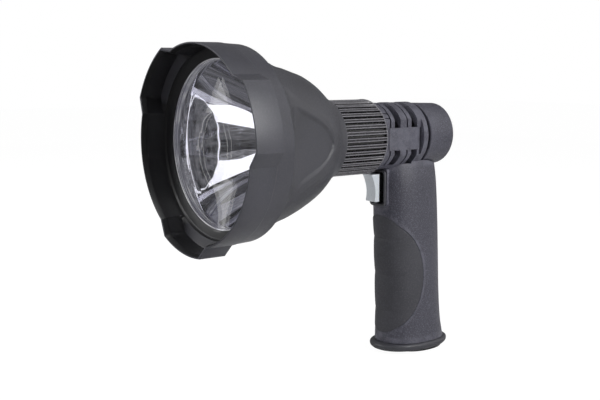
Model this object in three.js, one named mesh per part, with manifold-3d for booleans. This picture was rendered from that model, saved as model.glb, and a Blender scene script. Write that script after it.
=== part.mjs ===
// Handheld searchlight: lobed lamp head, ribbed focus collar, slotted barrel, pistol grip and base.
// Millimetres. The part stands with +Z up and its origin under the middle of the base.
// Inside the lamp group, y is the depth behind the front rim and z is measured from the beam axis.
import * as THREE from 'three';
import { mergeVertices } from 'three/addons/utils/BufferGeometryUtils.js';
import Module from 'manifold-3d';

const wasm = await Module();
wasm.setup();

// Whole lamp
const beamHeight = 150;
const baseHeight = 8;
const rimReach = 177.5;
const gap = 0.3;
const wideGap = 0.6;
const overrun = 1;
const beyond = 400;
const mergeDistance = 1e-4;

// Bezel, built outwards from the lens
const lensRadius = 53;
const seatWidth = 3;
const bezelWall = 4;
const bezelTaper = 0.9;
const bezelBore = lensRadius + seatWidth;
const bezelRadius = bezelBore + bezelWall;
const bezelBackRadius = bezelRadius - gap;
const bezelEndRadius = bezelRadius - bezelTaper;
const bezelLength = 30.5;
const lobeRise = 6;
const lobeRadius = bezelRadius + lobeRise;
const lobeLength = 18;
const lobeCount = 3;
const firstLobeAngle = 18;
const lobeHalfAngle = 18.2;
const facetHalfAngle = 26.2;
const hoodWall = 2;
const hoodRidge = 1;
const hoodFlare = 1.6;
const hoodLobeRadius = lobeRadius - hoodWall;
const hoodLowRadius = bezelBore - hoodRidge;
const hoodLobeHalfAngle = 16.5;
const hoodFacetHalfAngle = 30.1;
const hoodFloorRadius = bezelBore + gap;
const hoodMouth = hoodFloorRadius + hoodFlare;
const hoodDepth = 14.5;
const lipRun = 3;
const lipThickness = 0.9;
const lensOverlap = 2.1;
const lensOpening = lensRadius - lensOverlap;

// Glass, gasket and reflector
const lensThickness = 3.2;
const lensBevel = 0.8;
const gasketThickness = 2;
const gasketWidth = 2.6;
const gasketInner = lensRadius - gasketWidth;
const rimFlange = 1.5;
const reflectorInset = 2.8;
const reflectorRim = lensRadius - reflectorInset;
const focalShare = 0.239;
const focalLength = reflectorRim * focalShare;
const reflectorWall = 2.2;
const reflectorHole = 10;
const reflectorNeck = 12.4;
const reflectorNeckEnd = 83;
const bowlSteps = 5;

// Head housing
const tubeWall = 4;
const domeStep = 2.5;
const domeRadius = bezelRadius - domeStep;
const domeEndRadius = 26.2;
const domeEnd = 97.4;
const domeWall = 2.6;
const domeRearWall = 3;
const domeReachShares = [0, 0.17, 0.35, 0.53, 0.71, 0.89, 1];
const domeWidthShares = [1, 0.856, 0.722, 0.578, 0.396, 0.128, 0];
const domeSteps = 6;
const scoopCount = 4;
const scoopTip = 74.8;
const scoopHalfWidth = 33;
const scoopReachShares = [0, 0.1, 0.22, 0.4, 0.58, 0.75, 0.88, 0.97, 1];
const scoopWidthShares = [1, 0.93, 0.82, 0.66, 0.55, 0.43, 0.3, 0.14, 0];
const scoopDrops = [2.5, 7.2, 10.7, 13.2, 15, 16.5, 17.7, 18.6, 18.9];
const scoopFloorWidthShare = 0.86;
const sealDepth = 1.4;
const sealBack = 29.2;
const sealWidth = 2.4;

// Focus collar
const collarFront = 98;
const collarBack = 132.3;
const collarBore = 19.8;
const collarRootRadius = 23.1;
const collarRibRadius = 24.6;
const collarRimRadius = 24.9;
const collarRimWidth = 1.2;
const ribCount = 36;
const ribCrestShare = 0.21;
const ribFootShare = 0.31;
const grooveRadius = 21.7;
const grooveHalfWidth = 2;
const focusTurn = 100;
const focusTravel = 5;
const grooveSteps = 8;

// LED carrier and heat sink
const carrierRadius = 9;
const carrierNose = 6.2;
const carrierShoulder = 76.5;
const carrierEnd = 118;
const pinDepth = 110;
const pinRadius = 1.5;
const pinRoot = 4.5;
const pinTop = 21.3;
const pinPlay = 0.45;
const boardRadius = 6.2;
const boardThickness = 1.6;
const emitterHalfSide = 2.2;
const emitterThickness = 0.9;
const emitterDome = 2;
const emitterRise = 1.6;
const centringOuter = 5.9;
const centringInner = 3.7;
const centringThickness = 1;
const sinkBossRadius = 12.4;
const sinkFlangeRadius = 24;
const sinkFlangeThickness = 3.6;
const sinkRadius = 17.6;
const sinkCoreRadius = 12.5;
const sinkEnd = 165;
const sinkBoreEnd = 124.5;
const clampFront = 134;
const clampBack = 138;
const clampRadius = 16.2;
const potPocketRadius = 9.6;
const potPocketFront = 157.5;

// Barrel
const barrelFront = 132.6;
const barrelRadius = 22.3;
const barrelEnd = 171.3;
const barrelBore = 18;
const barrelRearWall = 3;
const spigotRadius = 19.4;
const slotFronts = [138.7, 153.7];
const slotLength = 9.6;
const slotInner = 17.7;
const slotBottom = -18.5;
const discLead = 2.2;
const discThickness = 4.3;
const sideFlat = 19;
const sideFlatEnd = 166.9;
const panelFlat = 19.5;
const panelTop = 6.2;
const panelBottom = -8.5;
const panelFront = 138;
const panelBack = 165.2;
const wireHalfWidth = 2.5;
const wireFront = 155;
const wireBack = 160;

// Grip: stations down from the beam axis, and the outline at each
const gripTop = -14;
const gripBottom = baseHeight - beamHeight;
const gripStationShares = [0, 0.047, 0.094, 0.156, 0.25, 0.406, 0.578, 0.75, 0.891, 0.953, 1];
const gripStations = gripStationShares.map((share) => gripTop + (gripBottom - gripTop) * share);
const gripFronts = [149, 147.8, 147.2, 147, 147.5, 148.4, 149.5, 150.4, 150.9, 150.9, 150.9];
const gripRears = [193.2, 193.6, 194.2, 194.8, 195.6, 196.7, 197.6, 198.6, 200.1, 201.5, 202.8];
const gripHalfWidths = [12.8, 14, 15.8, 17.3, 17.6, 17.6, 17.6, 17.7, 18.1, 18.6, 19.1];
const gripSquareness = 2.25;
const gripSides = 24;
const gripWall = 4.3;
const cavityTop = -24;
const bossInset = 1.5;
const shellSeam = 0.3;

// Soft grip insert
const insertThickness = 2.1;
const insertMiddle = -95.9;
const insertTip = 172.7;
const insertRadius = 42.4;
const insertFlankAngle = 55;
const insertFlankSlope = 1.05;
const insertFront = 135;
const insertArcSteps = 10;
const insertLevels = 14;
const fingerPitch = 25;
const firstNotch = -69.7;
const fingerHeight = 1.8;
const fingerDip = 0.9;
const fingerSharpness = 0.55;

// Trigger, frame and switch
const frameFront = 145.2;
const frameThickness = 1.6;
const frameHalfWidth = 7.6;
const frameTop = -22.7;
const frameBottom = -47.2;
const frameCorner = 3;
const openingHalfWidth = 6.1;
const openingTop = -24.4;
const openingBottom = -45.6;
const openingCorner = 2;
const openingBack = 155;
const bossTop = -21;
const bossBack = 152;
const triggerHalfWidth = 4.5;
const triggerTop = -25.2;
const triggerBottom = -43.7;
const triggerFrontTop = 136.2;
const triggerFrontMiddle = 139.6;
const triggerFrontBottom = 139.2;
const triggerBack = 152.5;
const triggerBevel = 0.8;
const triggerSteps = 8;
const pivotDepth = triggerBack;
const pivotHeight = -28.6;
const pivotEye = 3.2;
const pivotPinRadius = 1.25;
const pivotPinReach = 8.8;
const springRoom = 3;
const springRoomHalfWidth = 2;
const springRadius = 2.1;
const springWire = 0.3;
const springHalfLength = 1.5;
const springTurns = 3;
const plungerHeight = -40;
const plungerRadius = 1.2;
const plungerLength = 6;
const switchFront = 158.4;
const switchBack = 171.2;
const switchHalfWidth = 3.2;
const switchTop = -34.5;
const switchBottom = -44.5;
const switchBoreEnd = 161.4;
const switchLegs = [-37, -39.5, -42];
const switchLegHalfWidth = 1;
const switchLegThickness = 0.5;
const switchLegLength = 2;
const ribReach = 14;

// Cells and their carriers
const cellRadius = 8.5;
const cellOffset = 8.85;
const cellMiddle = 173.9;
const cellTop = -71.2;
const cellRise = 5.8;
const cellBottom = gripBottom + cellRise;
const cellNip = 3;
const cellNipHeight = 1;
const cellEdge = 0.8;
const spacerInset = gripWall + gap;
const spacerBridge = 4;
const spacerDrop = 4.8;
const spacerRise = 16.5;
const spacerTops = [cellTop - spacerDrop, gripBottom + spacerRise];
const spacerHeight = 7;
const linkHalfWidth = 4;
const linkHalfLength = 13;
const linkThickness = 0.5;
const holderThickness = 2.2;
const contactRadius = 3.6;
const contactWire = 0.4;
const contactTurns = 1.5;
const contactHeight = 2.6;

// Driver board
const driverFront = 184;
const driverThickness = 1.6;
const driverHalfWidth = 7.8;
const driverTop = -30;
const driverBottom = -60;
const chokeOuter = 4.6;
const chokeInner = 2;
const chokeLength = 4;
const chokeHeight = -40;
const capacitorRadius = 2.6;
const capacitorLength = 6;
const capacitorHeight = -52;

// Dimmer
const knobFront = 174.2;
const knobEnd = 197.2;
const knobRadius = 21.5;
const knobEndRadius = 20.9;
const knobWall = 2.2;
const knobRound = 2.4;
const knobRoundSteps = 3;
const knobHub = 5.5;
const knobHubFront = 175;
const potFront = 160;
const potBack = 168;
const potRadius = 8.6;
const bushRadius = 3.8;
const bushEnd = 174;
const shaftFront = 163;
const shaftEnd = 190;
const shaftRadius = 2.5;
const nutRadius = 6;
const nutThickness = 1.8;
const sealInner = 14.5;
const sealOuter = 19.6;
const sealThickness = 2.4;

// Base
const flangeHalfWidth = 20.5;
const flangeHalfLength = 30.2;
const flangeMiddle = 176.4;
const flangeSquareness = 2.2;
const flangeReach = 5.1;
const flangeUnderside = gripBottom - flangeReach;
const flangeRiseShares = [0, 0.28, 0.6, 0.85, 1];
const flangeWidthShares = [0.935, 0.985, 1, 0.985, 0.94];
const plugInHeight = 4;
const plugInInset = gripWall + gap;
const plugInWall = 1.8;
const capFloorRise = 0.7;
const capFloor = gripBottom + capFloorRise;
const footHalfWidth = 15.6;
const footHalfLength = 20.5;
const footMiddle = 182.5;
const footThickness = 4;
const portSetback = 8;
const portDepth = footMiddle + portSetback;
const portRadius = 6.2;
const portThickness = 2.4;
const stemLength = 4;
const socketHalfWidth = 4.5;
const socketHalfDepth = 1.8;
const socketDrop = 4.2;
const socketBottom = gripBottom - socketDrop;
const socketHollow = 4;
const socketRoof = socketBottom + socketHollow;
const socketWall = 0.5;
const chargeBoardThickness = 1.5;

// Screws
const screwRadius = 1.25;
const screwHead = 2.3;
const screwHeadHeight = 1.6;
const screwSeat = -6;
const screwLength = 14;
const screwBoss = 3.2;
const bossReach = 14;
const screwDepths = [176.5, 177.5, 196.4];
const lowScrewRise = 21;
const screwHeights = [-63.2, -28.5, gripBottom + lowScrewRise];
const headScrewCount = 3;
const headScrewTurn = 30;
const headScrewCircle = 21.2;
const headScrewRadius = 1.1;
const headScrewHead = 1.7;
const headScrewHeadHeight = 1.2;
const headScrewLength = 5.6;

// Facets
const roundSides = 40;
const mediumSides = 24;
const smallSides = 12;
const tinySides = 8;
const wireSides = 5;
const nutSides = 6;
const wireSteps = 8;

const look = (color, roughness, metalness) => new THREE.MeshStandardMaterial({ color, roughness, metalness });
const casingLook = look(0x37373b, 0.62, 0);
const rubberLook = look(0x19191b, 0.85, 0);
const softLook = look(0x303034, 0.78, 0);
const glassLook = look(0xdfe8ec, 0.05, 0);
const mirrorLook = look(0xd9dcdf, 0.08, 1);
const alloyLook = look(0x54555a, 0.5, 0.8);
const steelLook = look(0xb4b6b8, 0.35, 1);
const triggerLook = look(0xb3b7bf, 0.45, 0);
const boardLook = look(0x1d5a33, 0.6, 0);
const whiteLook = look(0xe8e8e4, 0.5, 0);
const emitterLook = look(0xf1d768, 0.3, 0);
const cellLook = look(0x2c6aa0, 0.4, 0);

const lamp = new THREE.Group();
lamp.position.set(0, -rimReach, beamHeight);
const group = new THREE.Group();
group.add(lamp);

const radians = THREE.MathUtils.degToRad;

// A closed mesh as a solid, with its faces turned outwards
function solidOf(geometry) {
  geometry.deleteAttribute('normal');
  geometry.deleteAttribute('uv');
  const merged = mergeVertices(geometry, mergeDistance);
  const place = merged.attributes.position;
  const corners = merged.index.array;
  const kept = [];
  let volume = 0;
  const [p, q, r] = [new THREE.Vector3(), new THREE.Vector3(), new THREE.Vector3()];
  for (let i = 0; i < corners.length; i += 3) {
    const [a, b, c] = [corners[i], corners[i + 1], corners[i + 2]];
    if (a === b || b === c || c === a) continue;
    kept.push(a, b, c);
    p.fromBufferAttribute(place, a);
    q.fromBufferAttribute(place, b);
    r.fromBufferAttribute(place, c);
    volume += p.dot(q.cross(r));
  }
  if (volume < 0) kept.reverse();
  return new wasm.Manifold(new wasm.Mesh({
    numProp: 3,
    vertProperties: new Float32Array(place.array),
    triVerts: new Uint32Array(kept),
  }));
}

function geometryOf(solid) {
  const mesh = solid.getMesh();
  const geometry = new THREE.BufferGeometry();
  geometry.setAttribute('position', new THREE.BufferAttribute(new Float32Array(mesh.vertProperties), 3));
  geometry.setIndex(new THREE.BufferAttribute(new Uint32Array(mesh.triVerts), 1));
  geometry.computeVertexNormals();
  return geometry;
}

function addPiece(name, solid, material) {
  const mesh = new THREE.Mesh(geometryOf(solid), material);
  mesh.name = name;
  lamp.add(mesh);
}

const unionOf = (solids) => solids.reduce((sum, solid) => sum.add(solid));
const cutBy = (solid, cutters) => cutters.reduce((rest, cutter) => rest.subtract(cutter), solid);

// Outlines for revolving, each a closed list of [radius, place along the axis]
const rod = (radius, from, to) => [[0, from], [radius, from], [radius, to], [0, to]];
const tube = (inner, outer, from, to) => [[inner, from], [outer, from], [outer, to], [inner, to]];

function turned(outline, sides) {
  const points = outline.map(([radius, place]) => new THREE.Vector2(radius, place));
  const first = points[0];
  const last = points[points.length - 1];
  if (first.x > 0 || last.x > 0) points.push(first.clone());
  return new THREE.LatheGeometry(points, sides);
}

// Revolved about a line along the beam, an upright line and a line from side to side
function beamTurned(outline, sides, x = 0, z = 0) {
  return solidOf(turned(outline, sides).translate(x, 0, z));
}

function uprightTurned(outline, sides, x, y) {
  return solidOf(turned(outline, sides).rotateX(Math.PI / 2).translate(x, y, 0));
}

function sidewaysTurned(outline, sides, y, z) {
  return solidOf(turned(outline, sides).rotateZ(-Math.PI / 2).translate(0, y, z));
}

const polar = (radius, degrees) => [radius * Math.cos(radians(degrees)), radius * Math.sin(radians(degrees))];
const shapeOf = (spots) => new THREE.Shape(spots.map(([a, b]) => new THREE.Vector2(a, b)));

// A flat outline pushed along the beam, drawn in (x, z), or from side to side, drawn in (y, z)
const alongBeam = new THREE.Matrix4().makeBasis(
  new THREE.Vector3(1, 0, 0), new THREE.Vector3(0, 0, 1), new THREE.Vector3(0, 1, 0));
const sideToSide = new THREE.Matrix4().makeBasis(
  new THREE.Vector3(0, 1, 0), new THREE.Vector3(0, 0, 1), new THREE.Vector3(1, 0, 0));

function pushed(shape, basis, from, to, curveSegments = 2) {
  const geometry = new THREE.ExtrudeGeometry(shape, { depth: to - from, bevelEnabled: false, curveSegments });
  geometry.translate(0, 0, from);
  geometry.applyMatrix4(basis);
  return solidOf(geometry);
}

function boxFrom(x0, x1, y0, y1, z0, z1) {
  const geometry = new THREE.BoxGeometry(Math.abs(x1 - x0), y1 - y0, z1 - z0);
  geometry.translate((x0 + x1) / 2, (y0 + y1) / 2, (z0 + z1) / 2);
  return solidOf(geometry);
}

const centredBox = (reach, y0, y1, z0, z1) => boxFrom(-reach, reach, y0, y1, z0, z1);

// A rectangle about the middle plane with rounded corners
function roundedPlate(reach, low, high, corner) {
  const shape = new THREE.Shape();
  shape.moveTo(corner - reach, low);
  shape.lineTo(reach - corner, low);
  shape.absarc(reach - corner, low + corner, corner, -Math.PI / 2, 0);
  shape.lineTo(reach, high - corner);
  shape.absarc(reach - corner, high - corner, corner, 0, Math.PI / 2);
  shape.lineTo(corner - reach, high);
  shape.absarc(corner - reach, high - corner, corner, Math.PI / 2, Math.PI);
  shape.lineTo(-reach, low + corner);
  shape.absarc(corner - reach, low + corner, corner, Math.PI, Math.PI * 1.5);
  return shape;
}

// A skin over a row of rings with as many points each, closed at both ends
function lofted(rings) {
  const count = rings[0].length;
  const places = rings.flat();
  const faces = [];
  for (let level = 0; level < rings.length - 1; level++) {
    for (let k = 0; k < count; k++) {
      const a = level * count + k;
      const b = level * count + (k + 1) % count;
      faces.push(a, b, b + count, a, b + count, a + count);
    }
  }
  for (const level of [0, rings.length - 1]) {
    const middle = new THREE.Vector3();
    rings[level].forEach((point) => middle.addScaledVector(point, 1 / count));
    places.push(middle);
    for (let k = 0; k < count; k++) {
      const a = level * count + k;
      const b = level * count + (k + 1) % count;
      faces.push(...(level > 0 ? [a, b, places.length - 1] : [b, a, places.length - 1]));
    }
  }
  const geometry = new THREE.BufferGeometry().setFromPoints(places);
  geometry.setIndex(faces);
  return solidOf(geometry);
}

// A wire wound about an upright line, or about a line from side to side
class Coil extends THREE.Curve {
  constructor(middle, radius, turns, length, sideways) {
    super();
    Object.assign(this, { middle, radius, turns, length, sideways });
  }

  getPoint(share, target = new THREE.Vector3()) {
    const angle = share * this.turns * Math.PI * 2;
    const a = this.radius * Math.cos(angle);
    const b = this.radius * Math.sin(angle);
    const c = this.length * share;
    if (this.sideways) target.set(c, a, b);
    else target.set(a, b, c);
    return target.add(this.middle);
  }
}

function wound(coil, wire) {
  const section = shapeOf([...Array(wireSides).keys()].map((k) => polar(wire, (k * 360) / wireSides)));
  const steps = Math.ceil(coil.turns * wireSteps);
  return solidOf(new THREE.ExtrudeGeometry(section, { steps, extrudePath: coil, bevelEnabled: false }));
}

// The value at x in a table whose first column rises or falls
function tableValue(x, xs, values) {
  const sign = Math.sign(xs[1] - xs[0]);
  let k = 0;
  while (k < xs.length - 2 && sign * x > sign * xs[k + 1]) k++;
  const share = (x - xs[k]) / (xs[k + 1] - xs[k]);
  return values[k] + (values[k + 1] - values[k]) * share;
}

// Places along the beam, front to back
const lipFront = hoodDepth + lipRun;
const lipBack = lipFront + lipThickness;
const lensFront = lipBack + gap;
const lensBack = lensFront + lensThickness;
const gasketFront = lensBack + gap;
const gasketBack = gasketFront + gasketThickness;
const rimFlangeFront = gasketBack + gap;
const rimFlangeBack = rimFlangeFront + rimFlange;
const tubeFront = rimFlangeBack + gap;
const tubeRadius = bezelBore - gap;
const tubeInner = tubeRadius - tubeWall;
const seatRadius = lensRadius + gap;
const domeFront = bezelLength + gap;
const domeRearFace = domeEnd - domeRearWall;
const sinkFlangeBack = domeRearFace - gap;
const sinkFlangeFront = sinkFlangeBack - sinkFlangeThickness;
const vertexDepth = rimFlangeFront + reflectorRim ** 2 / (4 * focalLength);
const focusDepth = vertexDepth - focalLength;
const boardFront = focusDepth + emitterThickness;
const boardBack = boardFront + boardThickness;
const rearWallFront = barrelEnd - barrelRearWall;

// Bezel: a lobed outline with flat facets between its two radii
function lobedOutline(low, high, lobeHalf, facetHalf) {
  const lobeSteps = 6;
  const lowSteps = 12;
  const spots = [];
  for (let k = 0; k < lobeCount; k++) {
    const middle = firstLobeAngle + (k * 360) / lobeCount;
    const run = 360 / lobeCount - facetHalf * 2;
    for (let s = 0; s <= lobeSteps; s++) {
      spots.push(polar(high, middle - lobeHalf + (lobeHalf * 2 * s) / lobeSteps));
    }
    for (let s = 0; s <= lowSteps; s++) spots.push(polar(low, middle + facetHalf + (run * s) / lowSteps));
  }
  return shapeOf(spots);
}

function bezel() {
  const lobes = pushed(lobedOutline(bezelRadius, lobeRadius, lobeHalfAngle, facetHalfAngle),
    alongBeam, 0, lobeLength);
  const back = beamTurned([
    [0, hoodDepth], [bezelBackRadius, hoodDepth], [bezelBackRadius, lobeLength],
    [bezelEndRadius, bezelLength], [0, bezelLength],
  ], roundSides);
  const hood = pushed(lobedOutline(hoodLowRadius, hoodLobeRadius, hoodLobeHalfAngle, hoodFacetHalfAngle),
    alongBeam, -overrun, hoodDepth);
  const bore = beamTurned([
    [0, -overrun], [hoodMouth, -overrun], [hoodMouth, 0], [hoodFloorRadius, hoodDepth],
    [lensOpening, lipFront], [lensOpening, lipBack], [seatRadius, lipBack],
    [seatRadius, gasketBack], [bezelBore, gasketBack], [bezelBore, bezelLength + overrun],
    [0, bezelLength + overrun],
  ], roundSides);
  return cutBy(lobes.add(back), [hood, bore]);
}

function lens() {
  return beamTurned([
    [0, lensFront], [lensRadius - lensBevel, lensFront], [lensRadius, lensFront + lensBevel],
    [lensRadius, lensBack - lensBevel], [lensRadius - lensBevel, lensBack], [0, lensBack],
  ], roundSides);
}

// Reflector: a paraboloid shell with a flange at the rim and a neck that ends at the heat sink
function reflector() {
  const bowl = (radius, shift) => [radius, vertexDepth + shift - radius ** 2 / (4 * focalLength)];
  const inside = [];
  const outside = [];
  for (let k = 0; k <= bowlSteps; k++) {
    inside.push(bowl(reflectorRim + ((reflectorHole - reflectorRim) * k) / bowlSteps, 0));
    outside.push(bowl(reflectorNeck + ((reflectorRim - reflectorNeck) * k) / bowlSteps, reflectorWall));
  }
  return beamTurned([
    ...inside, [reflectorHole, reflectorNeckEnd], [reflectorNeck, reflectorNeckEnd], ...outside,
    [reflectorRim + gap, rimFlangeBack], [tubeRadius, rimFlangeBack], [tubeRadius, rimFlangeFront],
  ], roundSides);
}

// Head housing: a dome with scoops, a tube that enters the bezel and a rear wall
function domeCurve(inset) {
  const run = domeEnd - domeFront;
  const points = domeReachShares.map((reach, k) => new THREE.Vector2(
    domeEndRadius + (domeRadius - domeEndRadius) * domeWidthShares[k] - inset, domeFront + run * reach));
  return new THREE.SplineCurve(points).getPoints(domeSteps).map(({ x, y }) => [x, y]);
}

// One scoop as a cutter: its plan is a tongue, and its floor slopes in towards the rear
function scoopCutter(turn, inset) {
  const run = scoopTip - domeFront;
  const mouthPlace = lobeRadius + overrun;
  const floor = [];
  const mouth = [];
  const addEdge = (k, side) => {
    const depth = domeFront + (run + inset) * scoopReachShares[k];
    const floorPlace = domeRadius - scoopDrops[k] - inset;
    const halfWidth = scoopHalfWidth * scoopWidthShares[k];
    const flare = (mouthPlace - floorPlace) / (domeRadius - floorPlace + inset);
    const spread = scoopFloorWidthShare + (1 - scoopFloorWidthShare) * flare;
    floor.push(new THREE.Vector3(floorPlace, depth, side * (halfWidth * scoopFloorWidthShare + inset)));
    mouth.push(new THREE.Vector3(mouthPlace, depth, side * (halfWidth * spread + inset)));
  };
  const last = scoopReachShares.length - 1;
  for (let k = 0; k < last; k++) addEdge(k, 1);
  addEdge(last, 0);
  for (let k = last - 1; k >= 0; k--) addEdge(k, -1);
  const turning = new THREE.Matrix4().makeRotationY(radians(turn));
  [...floor, ...mouth].forEach((point) => point.applyMatrix4(turning));
  return lofted([floor, mouth]);
}

const scoopCutters = (inset) => [...Array(scoopCount).keys()].map((k) => scoopCutter((k * 360) / scoopCount, inset));

// Head screws join the heat sink flange to the rear wall of the housing
const headScrewSpots = [...Array(headScrewCount).keys()].map(
  (k) => polar(headScrewCircle, headScrewTurn + (k * 360) / headScrewCount));
const headScrewTip = sinkFlangeFront + headScrewLength;

function headScrewHoles() {
  return headScrewSpots.map(([x, z]) => beamTurned(
    rod(headScrewRadius + gap, sinkFlangeFront - overrun, headScrewTip + gap), tinySides, x, z));
}

function headScrew([x, z]) {
  return beamTurned([
    [0, sinkFlangeFront - headScrewHeadHeight], [headScrewHead, sinkFlangeFront - headScrewHeadHeight],
    [headScrewHead, sinkFlangeFront], [headScrewRadius, sinkFlangeFront],
    [headScrewRadius, headScrewTip], [0, headScrewTip],
  ], tinySides, x, z);
}

function headHousing() {
  const tubeEnd = domeFront + tubeWall;
  const dome = beamTurned([[0, domeFront], ...domeCurve(0), [0, domeEnd]], roundSides);
  const frontTube = beamTurned(rod(tubeRadius, tubeFront, domeFront + overrun), roundSides);
  const hollow = beamTurned([
    [0, tubeFront - overrun], [tubeInner, tubeFront - overrun], [tubeInner, tubeEnd],
    ...domeCurve(domeWall).filter(([, depth]) => depth > tubeEnd && depth < domeRearFace - gap),
    [sinkFlangeRadius + gap, domeRearFace], [0, domeRearFace],
  ], mediumSides);
  const sealGroove = beamTurned(
    tube(tubeRadius - sealDepth, tubeRadius + overrun, sealBack - sealWidth, sealBack), roundSides);
  const rearHole = beamTurned(rod(barrelBore, domeRearFace - overrun, domeEnd + overrun), mediumSides);
  const skin = cutBy(dome, scoopCutters(0)).add(frontTube).subtract(cutBy(hollow, scoopCutters(domeWall)));
  return cutBy(skin, [sealGroove, rearHole, ...headScrewHoles()]);
}

function headSeal() {
  return beamTurned(tube(tubeRadius - sealDepth + gap, tubeRadius, sealBack - sealWidth + gap, sealBack - gap),
    roundSides);
}

// Focus collar: ribs along the beam between two rims, and a helical groove inside for the pin
function camGroove() {
  const rings = [];
  for (let k = -1; k <= grooveSteps + 1; k++) {
    const depth = pinDepth + (focusTravel * k) / grooveSteps;
    const ring = [[-1, collarBore - overrun], [1, collarBore - overrun], [1, grooveRadius], [-1, grooveRadius]];
    rings.push(ring.map(([side, radius]) => {
      const [x, z] = polar(radius, 90 + (focusTurn * k) / grooveSteps);
      return new THREE.Vector3(x, depth + side * grooveHalfWidth, z);
    }));
  }
  return lofted(rings);
}

function focusCollar() {
  const edges = [
    [-ribFootShare, collarRootRadius], [-ribCrestShare, collarRibRadius],
    [ribCrestShare, collarRibRadius], [ribFootShare, collarRootRadius],
  ];
  const spots = [];
  for (let k = 0; k < ribCount; k++) {
    edges.forEach(([share, radius]) => spots.push(polar(radius, ((k + share) * 360) / ribCount)));
  }
  const inset = collarRimWidth / 2;
  const ribs = pushed(shapeOf(spots), alongBeam, collarFront + inset, collarBack - inset);
  const rims = [collarFront, collarBack - collarRimWidth].map(
    (front) => beamTurned(rod(collarRimRadius, front, front + collarRimWidth), roundSides));
  const bore = beamTurned(rod(collarBore, collarFront - overrun, collarBack + overrun), mediumSides);
  return cutBy(unionOf([ribs, ...rims]), [bore, camGroove()]);
}

// LED carrier: slides inside the heat sink and holds the LED at the focus of the reflector
function carrier() {
  const body = beamTurned([
    [0, boardBack], [carrierNose, boardBack], [carrierNose, carrierShoulder - overrun],
    [carrierRadius, carrierShoulder], [carrierRadius, carrierEnd], [0, carrierEnd],
  ], smallSides);
  const pinHole = uprightTurned(rod(pinRadius + gap, pinRoot - gap, carrierRadius + overrun), tinySides, 0, pinDepth);
  return body.subtract(pinHole);
}

function emitter() {
  const steps = 4;
  const base = centredBox(emitterHalfSide, focusDepth, boardFront, -emitterHalfSide, emitterHalfSide);
  const dome = [];
  for (let k = 0; k < steps; k++) {
    const [out, rise] = polar(1, (k * 90) / steps);
    dome.push([emitterDome * out, focusDepth - emitterRise * rise]);
  }
  const inBase = focusDepth + emitterThickness / 2;
  return base.add(beamTurned([
    [0, inBase], [emitterDome, inBase], ...dome, [0, focusDepth - emitterRise],
  ], smallSides));
}

// Heat sink: flange, bore for the carrier, and a disc in each barrel slot
function pinSlot(from, to) {
  const reach = pinRadius + pinPlay;
  return centredBox(reach, pinDepth - reach, pinDepth + focusTravel + reach, from, to);
}

function heatSink() {
  const outline = [
    [0, reflectorNeckEnd + gap], [sinkBossRadius, reflectorNeckEnd + gap], [sinkBossRadius, sinkFlangeFront],
    [sinkFlangeRadius, sinkFlangeFront], [sinkFlangeRadius, sinkFlangeBack], [sinkRadius, sinkFlangeBack],
    [sinkRadius, clampFront], [clampRadius, clampFront], [clampRadius, clampBack], [sinkRadius, clampBack],
  ];
  for (const slotFront of slotFronts) {
    const discFront = slotFront + discLead;
    const discBack = discFront + discThickness;
    const slotBack = slotFront + slotLength;
    outline.push([sinkRadius, slotFront], [sinkCoreRadius, slotFront], [sinkCoreRadius, discFront]);
    outline.push([sinkRadius, discFront], [sinkRadius, discBack], [sinkCoreRadius, discBack]);
    outline.push([sinkCoreRadius, slotBack], [sinkRadius, slotBack]);
  }
  outline.push([sinkRadius, sinkEnd], [0, sinkEnd]);
  return cutBy(beamTurned(outline, mediumSides), [
    beamTurned(rod(carrierRadius + gap, reflectorNeckEnd, sinkBoreEnd), mediumSides),
    beamTurned(rod(potPocketRadius, potPocketFront, sinkEnd + overrun), mediumSides),
    pinSlot(carrierRadius - overrun, sinkRadius + overrun),
    ...headScrewHoles(),
  ]);
}

// Grip: one outline for the shells, the insert and everything that fits the cavity
function ringAt(height, middle, halfLength, halfWidth, squareness) {
  const power = 2 / squareness;
  const ring = [];
  for (let k = 0; k < gripSides; k++) {
    const [c, s] = polar(1, (k * 360) / gripSides);
    ring.push(new THREE.Vector3(
      halfWidth * Math.sign(c) * Math.abs(c) ** power,
      middle + halfLength * Math.sign(s) * Math.abs(s) ** power,
      height));
  }
  return ring;
}

function gripRing(height, inset, level = height) {
  const front = tableValue(level, gripStations, gripFronts) + inset;
  const rear = tableValue(level, gripStations, gripRears) - inset;
  const halfWidth = tableValue(level, gripStations, gripHalfWidths) - inset;
  return ringAt(height, (front + rear) / 2, (rear - front) / 2, halfWidth, gripSquareness);
}

function gripLoft(inset, top, bottom) {
  const heights = gripStations.filter((height) => height < top && height > bottom);
  return lofted([top, ...heights, bottom].map((height) => gripRing(height, inset)));
}

// The insert from the side: an arc with two straight flanks to the front
function insertPrism(grow) {
  const radius = insertRadius + grow;
  const centre = insertTip - insertRadius;
  const [flankReach, flankRise] = polar(radius, insertFlankAngle);
  const rise = flankRise + (centre + flankReach - insertFront) * insertFlankSlope;
  const spots = [[insertFront, insertMiddle - rise]];
  for (let k = 0; k <= insertArcSteps; k++) {
    const [y, z] = polar(radius, (k / insertArcSteps) * insertFlankAngle * 2 - insertFlankAngle);
    spots.push([centre + y, insertMiddle + z]);
  }
  spots.push([insertFront, insertMiddle + rise]);
  return pushed(shapeOf(spots), sideToSide, -beyond, beyond);
}

function gripInsert() {
  const top = frameBottom - gap;
  const rings = [];
  for (let k = 0; k <= insertLevels; k++) {
    const height = top + ((gripBottom + gap - top) * k) / insertLevels;
    const phase = Math.abs(Math.sin((Math.PI * (height - firstNotch)) / fingerPitch));
    const wave = fingerHeight * phase ** fingerSharpness - fingerDip;
    const middle = cellMiddle;
    rings.push(gripRing(height, 0).map((point) => {
      const share = Math.max(0, (middle - point.y) / (middle - frameFront));
      return point.setY(point.y - wave * share * share);
    }));
  }
  return lofted(rings)
    .subtract(gripLoft(insertThickness, top + overrun, gripBottom - overrun))
    .intersect(insertPrism(0));
}

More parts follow.
